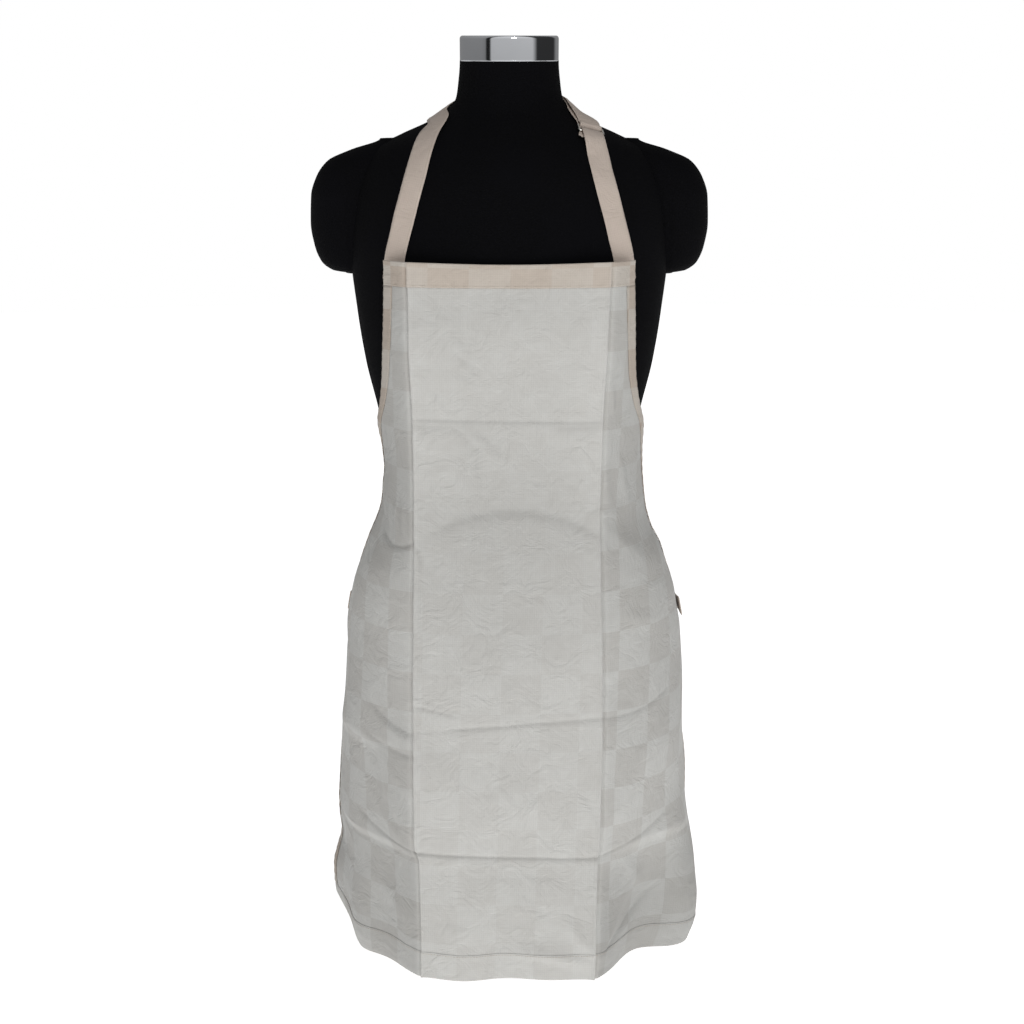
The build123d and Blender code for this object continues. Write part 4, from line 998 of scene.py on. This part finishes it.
def makeNeckStraps():
    w, x = straps["width"], straps["bibX"]
    upBib = ((0.797, x + 0.003, 0.0010), (0.823, x, 0.0012), (0.846, x - 0.006, 0.0020), (0.874, x - 0.013, 0.0020))
    leftFront = onSkin(*[upChest(-1, *stop) for stop in (
        *upBib, (0.903, x - 0.021, 0.0020), (0.930, 0.0925, 0.0022), (0.948, 0.085, 0.0028), (0.960, 0.076, 0.0028))])
    leftBack = onSkin((0.966, -84, 0.0028), (0.970, -103, 0.003), (0.976, -124, 0.003), (0.981, -145, 0.003),
                      (0.983, -154, 0.0060), (0.984, -169, 0.0125))
    pastSlider = facing([sliderCentre + sliderAlong * k * straps["sliderReach"]
                         for k in (1.0, 0.83, 0.45, 0, -0.4, -0.80)], sliderFace)
    rightBack = onSkin((0.977, 120, 0.0064), (0.973, 98, 0.0050), (0.9695, 82, 0.0050),
                       upChest(1, 0.9648, 0.076, 0.0056))
    r = straps["rollRadius"]
    intoRoll = facing([upperBar + ringFace * 0.0014 + ringUp * 0.0085, upperBar + ringFace * 0.0012 + ringUp * 0.0055],
                      ringFace)
    roll = aroundBar(upperBar, r, 52, -232, 19, ringUp, ringFace)
    back = facing([upperBar - ringFace * 0.0020 + ringUp * 0.0062], -ringFace)
    inner = onSkin(upChest(1, 0.9638, 0.076, 0.0022), (0.9695, 82, 0.0020), (0.973, 98, 0.0022), (0.977, 120, 0.0024),
                   (0.981, 130, 0.0026), (0.983, 143, 0.0028), (0.984, 156, 0.0030), (0.984, 168, 0.0030))
    inner[:, 3:] *= -1
    longStops = np.concatenate([leftFront, leftBack, pastSlider, rightBack, intoRoll, roll, back, inner])
    longStrap, longLength, longRails = ribbon(
        "neckStrapLong", longStops, w, ("neck_strap_long", "strap_turn", "neck_strap_return"))
    shortStops = onSkin(*[upChest(1, *stop) for stop in (
        *upBib, (0.903, x - 0.021, 0.0022), (0.926, 0.094, 0.0028))])
    r = straps["shortLoop"]
    toBar = facing([lowerBar + ringFace * r * 0.95 - ringUp * 0.010], ringFace)
    loop = aroundBar(lowerBar, r, 0, 195, 12, ringUp, ringFace)
    tail = facing([lowerBar - ringFace * 0.0022 - ringUp * 0.005 - ringAcross * 0.0018,
                   lowerBar - ringFace * 0.0018 - ringUp * 0.0135 - ringAcross * 0.0042], -ringFace)
    shortStrap, shortLength, shortRails = ribbon(
        "neckStrapShort", np.concatenate([shortStops, toBar, loop, tail]), w, ("neck_strap_short", "strap_loop"),
        fray=0.0007)
    loopStops = aroundBar(sliderCentre - sliderFace * barDrop, straps["sliderBar"] + straps["sliderGap"] + halfTape,
                          -175, 175, 25, sliderAlong, sliderFace)
    strapEnd, endLength, _ = ribbon("strapEnd", loopStops, w, ("strap_end",), "slider", ripple=0.0)
    sewn = railStitches("neckStitches", longRails + shortRails, "form")


makeNeckStraps()
print("neck straps threaded")


bow = {"height": 0.408, "width": 0.022, "knot": (0.024, 0.0125, 0.021), "gap": 0.003, "tail": 0.285,
       "wrapFrom": (0.285, 0.262), "strips": 0.018}


def makeTie(side, label):
    # from the outside of the apron's hem, round the back of the form to the knot
    z = np.full(5, bow["height"] + 0.002)
    cut = float(between(apron["cut"], z)[0][0])
    u = side * np.linspace(bow["wrapFrom"][side > 0], cut - 0.004, 5)
    beside = np.stack([u - 0.002, u, u + 0.002], 1)
    points = np.stack([layCloth(z[i:i + 1].repeat(2) + [0.001, -0.001], beside[i:i + 1].repeat(2, 0))
                       for i in range(5)])
    normals = np.array([outward(p)[0, 1] for p in points])
    start = np.concatenate([points[:, :, 1].mean(1) + normals * 0.0022, normals], 1)
    start[0, :3] += normals[0] * 0.0018
    back = onSkin(*[(bow["height"], side * angle, bow["gap"]) for angle in (129, 141, 153, 165, 174)])
    tie, length, rails = ribbon(f"waistTie{label}", np.concatenate([start, back]), bow["width"],
                                (f"waist_tie_{label.lower()}",), seed=5 + side)
    sewn = railStitches(f"tieStitches{label}", rails, "form")


def makeBow():
    knotY = float(skinPoint(bow["height"], 180)[1]) + bow["gap"] + bow["knot"][1] / 2 + 0.0002
    centre = np.array([0, knotY, bow["height"]])
    for side, label in ((-1, "Left"), (1, "Right")):
        path = np.array([(0.009, 0.002, 0.001), (0.022, 0.006, 0.000), (0.050, 0.0095, -0.004),
                         (0.078, 0.0085, -0.011), (0.088, 0.0035, -0.015), (0.080, -0.0020, -0.016),
                         (0.050, -0.0040, -0.011), (0.022, -0.0030, -0.005), (0.009, -0.0010, -0.002)])
        path = path * (side, 1, 1)
        ahead = np.gradient(path, axis=0)
        face = unit(np.stack([-ahead[:, 1], ahead[:, 0], 0 * ahead[:, 0]], -1)) * side
        loop, length, _ = ribbon(
            f"bowLoop{label}", np.concatenate([centre + path, face], 1), bow["width"],
            (f"bow_loop_{label.lower()}",), pleats=0.0016, seed=20 + side,
            widths=[(0, 0.42), (0.10, 0.60), (0.28, 1.0), (0.72, 1.0), (0.90, 0.60), (1, 0.42)])
        fall = np.array([(0.004, -0.0010, 0.006), (0.009, 0.0022, 0.022), (0.014, 0.0030, 0.060),
                         (0.018, 0.0015, 0.130), (0.021, 0.0010, 0.200), (0.023, 0.0010, bow["tail"])])
        stops = np.concatenate([centre + fall * (side, 1, -1), np.tile([side * 0.12, 1.0, 0.0], (6, 1))], 1)
        tail, length, _ = ribbon(f"bowTail{label}", stops, bow["strips"],
                                 (f"bow_tail_{label.lower()}",), pleats=0.0009, ripple=0.0006, seed=30 + side,
                                 widths=[(0, 0.55), (0.12, 0.8), (0.3, 1.0), (1, 1.0)], fray=0.0004,
                                 twist=[(0, 0), (0.4, side * 9), (0.75, side * -7), (1, side * 5)])
    # the knot: a rounded block squeezed in at both sides, with wraps running over it
    rows, columns = 48, 64
    lat = np.linspace(-math.pi / 2, math.pi / 2, rows)[:, None]
    lon = np.linspace(0, 2 * math.pi, columns + 1)[:-1][None, :]
    x = power(np.cos(lat), 0.55) * power(np.cos(lon), 0.6)
    y = power(np.cos(lat), 0.55) * power(np.sin(lon), 0.6)
    zz = power(np.sin(lat), 0.55) + 0 * lon
    ridges = 1 + 0.055 * np.cos(x * 9 + 1.8 * zz) - 0.10 * bump(np.abs(x) - 1, 0.25) * np.cos(zz * 8)
    half = np.array(bow["knot"]) / 2
    squeezed = x * half[0] * (1 - 0.12 * (1 - zz ** 2))
    grid = centre + np.stack([squeezed, y * half[1] * ridges, zz * half[2] * ridges], -1) * 0.97
    knot = makeMesh("bowKnot", grid.reshape(-1, 3), gridFaces(rows, columns, True),
                    np.stack([x * half[0] + 0 * zz, zz * half[2] * 1.5 + y * half[1]], -1).reshape(-1, 2), cottonTape)
    settleFaces(knot)
    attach(knot, "form")
    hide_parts("bow_knot")


for side, label in ((-1, "Left"), (1, "Right")):
    makeTie(side, label)
makeBow()
print("bow tied")

# Floor, light and camera.

studio = {
    "lens": 72.63, "pitch": 13.0, "back": 2.300, "height": 1.0525, "aside": 0.0030, "floor": 6.0,
    "fill": 0.38,   # share of the room's brightness that dull surfaces get
    "around": [     # degrees round from the front towards +X, brightness of the room there
        (-180, 0.30), (-66, 0.30), (-57, 0.26), (-54, 0.02), (-46, 0.02), (-42, 0.62), (56, 0.66), (68, 0.04),
        (126, 0.04), (140, 0.30), (180, 0.30)],
    "key": {"place": (0.45, -2.20, 2.45), "width": 0.5, "watts": 25, "aim": (0, 0, 0.5)},
}


def makeWorld():
    # a white backdrop; the room that lights the object is bright in front and darker towards both sides,
    # with an upright black flag on each side
    world = bpy.data.worlds.new("studio")
    bpy.context.scene.world = world
    world.use_nodes = True
    tree = world.node_tree
    tree.nodes.clear()
    way = node(tree, "ShaderNodeSeparateXYZ", i0=node(tree, "ShaderNodeTexCoord").outputs["Generated"])
    angle = math2(tree, "ARCTAN2", way.outputs[0], math2(tree, "MULTIPLY", way.outputs[1], -1.0))
    place = node(tree, "ShaderNodeMath", {"operation": "MULTIPLY_ADD"}, i0=angle, i1=0.5 / math.pi, i2=0.5).outputs[0]
    room = node(tree, "ShaderNodeValToRGB", Fac=place)
    stops = room.color_ramp.elements
    while len(stops) < len(studio["around"]):
        stops.new(0.5)
    for stop, (degrees, _) in zip(stops, studio["around"]):
        stop.position = (degrees + 180) / 360
    for stop, (_, brightness) in zip(stops, studio["around"]):
        stop.color = (brightness, brightness, brightness, 1)
    over = node(tree, "ShaderNodeMapRange", Value=way.outputs[2], From_Min=-0.6, From_Max=0.9, To_Min=0.5, To_Max=1.15)
    rays = node(tree, "ShaderNodeLightPath")
    soft = node(tree, "ShaderNodeMapRange", Value=rays.outputs["Is Glossy Ray"], To_Min=studio["fill"], To_Max=1.0)
    strength = math2(tree, "MULTIPLY", over.outputs[0], soft.outputs[0])
    light = node(tree, "ShaderNodeBackground", Color=room.outputs[0], Strength=strength)
    white = node(tree, "ShaderNodeBackground", Color=(1, 1, 1, 1), Strength=1.0)
    mixed = node(tree, "ShaderNodeMixShader", i0=rays.outputs["Is Camera Ray"], i1=light.outputs[0],
                 i2=white.outputs[0])
    node(tree, "ShaderNodeOutputWorld", i0=mixed.outputs[0])


def makeStudio():
    scene = bpy.context.scene
    scene.view_settings.view_transform = "Standard"
    camera = bpy.data.objects.new("camera", bpy.data.cameras.new("camera"))
    camera.data.lens, camera.data.sensor_width = studio["lens"], 36.0
    camera.location = (studio["aside"], -studio["back"], studio["height"])
    camera.rotation_euler = (math.radians(90 - studio["pitch"]), 0, 0)
    scene.collection.objects.link(camera)
    scene.camera = camera
    turn = np.linspace(0, 2 * math.pi, 97)[:-1]
    rings = np.array([0.002, 0.5, 1.5, 3.0, studio["floor"]])[:, None]
    grid = np.stack([rings * np.cos(turn), rings * np.sin(turn), 0 * rings * turn], -1)
    pale, tree, shader = material("paleFloor", Roughness=0.9, Emission_Color=(1, 1, 1, 1), Emission_Strength=1.0)
    grain = node(tree, "ShaderNodeTexNoise", Scale=40.0).outputs["Fac"]
    tree.links.new(ramp(tree, grain, 0.2, 0.8, (0.86, 0.86, 0.86, 1), (0.88, 0.88, 0.88, 1)),
                   shader.inputs["Base Color"])
    makeMesh("floor", grid.reshape(-1, 3), gridFaces(*grid.shape[:2], True), material=pale)
    key = studio["key"]
    lamp = bpy.data.lights.new("keyLight", "AREA")
    lamp.shape, lamp.size, lamp.energy = "DISK", key["width"], key["watts"]
    holder = bpy.data.objects.new("keyLight", lamp)
    holder.location = key["place"]
    toward = mathutils.Vector(np.subtract(key["aim"], key["place"]))
    holder.rotation_euler = toward.to_track_quat("-Z", "Y").to_euler()
    scene.collection.objects.link(holder)


makeWorld()
makeStudio()
print("studio ready")
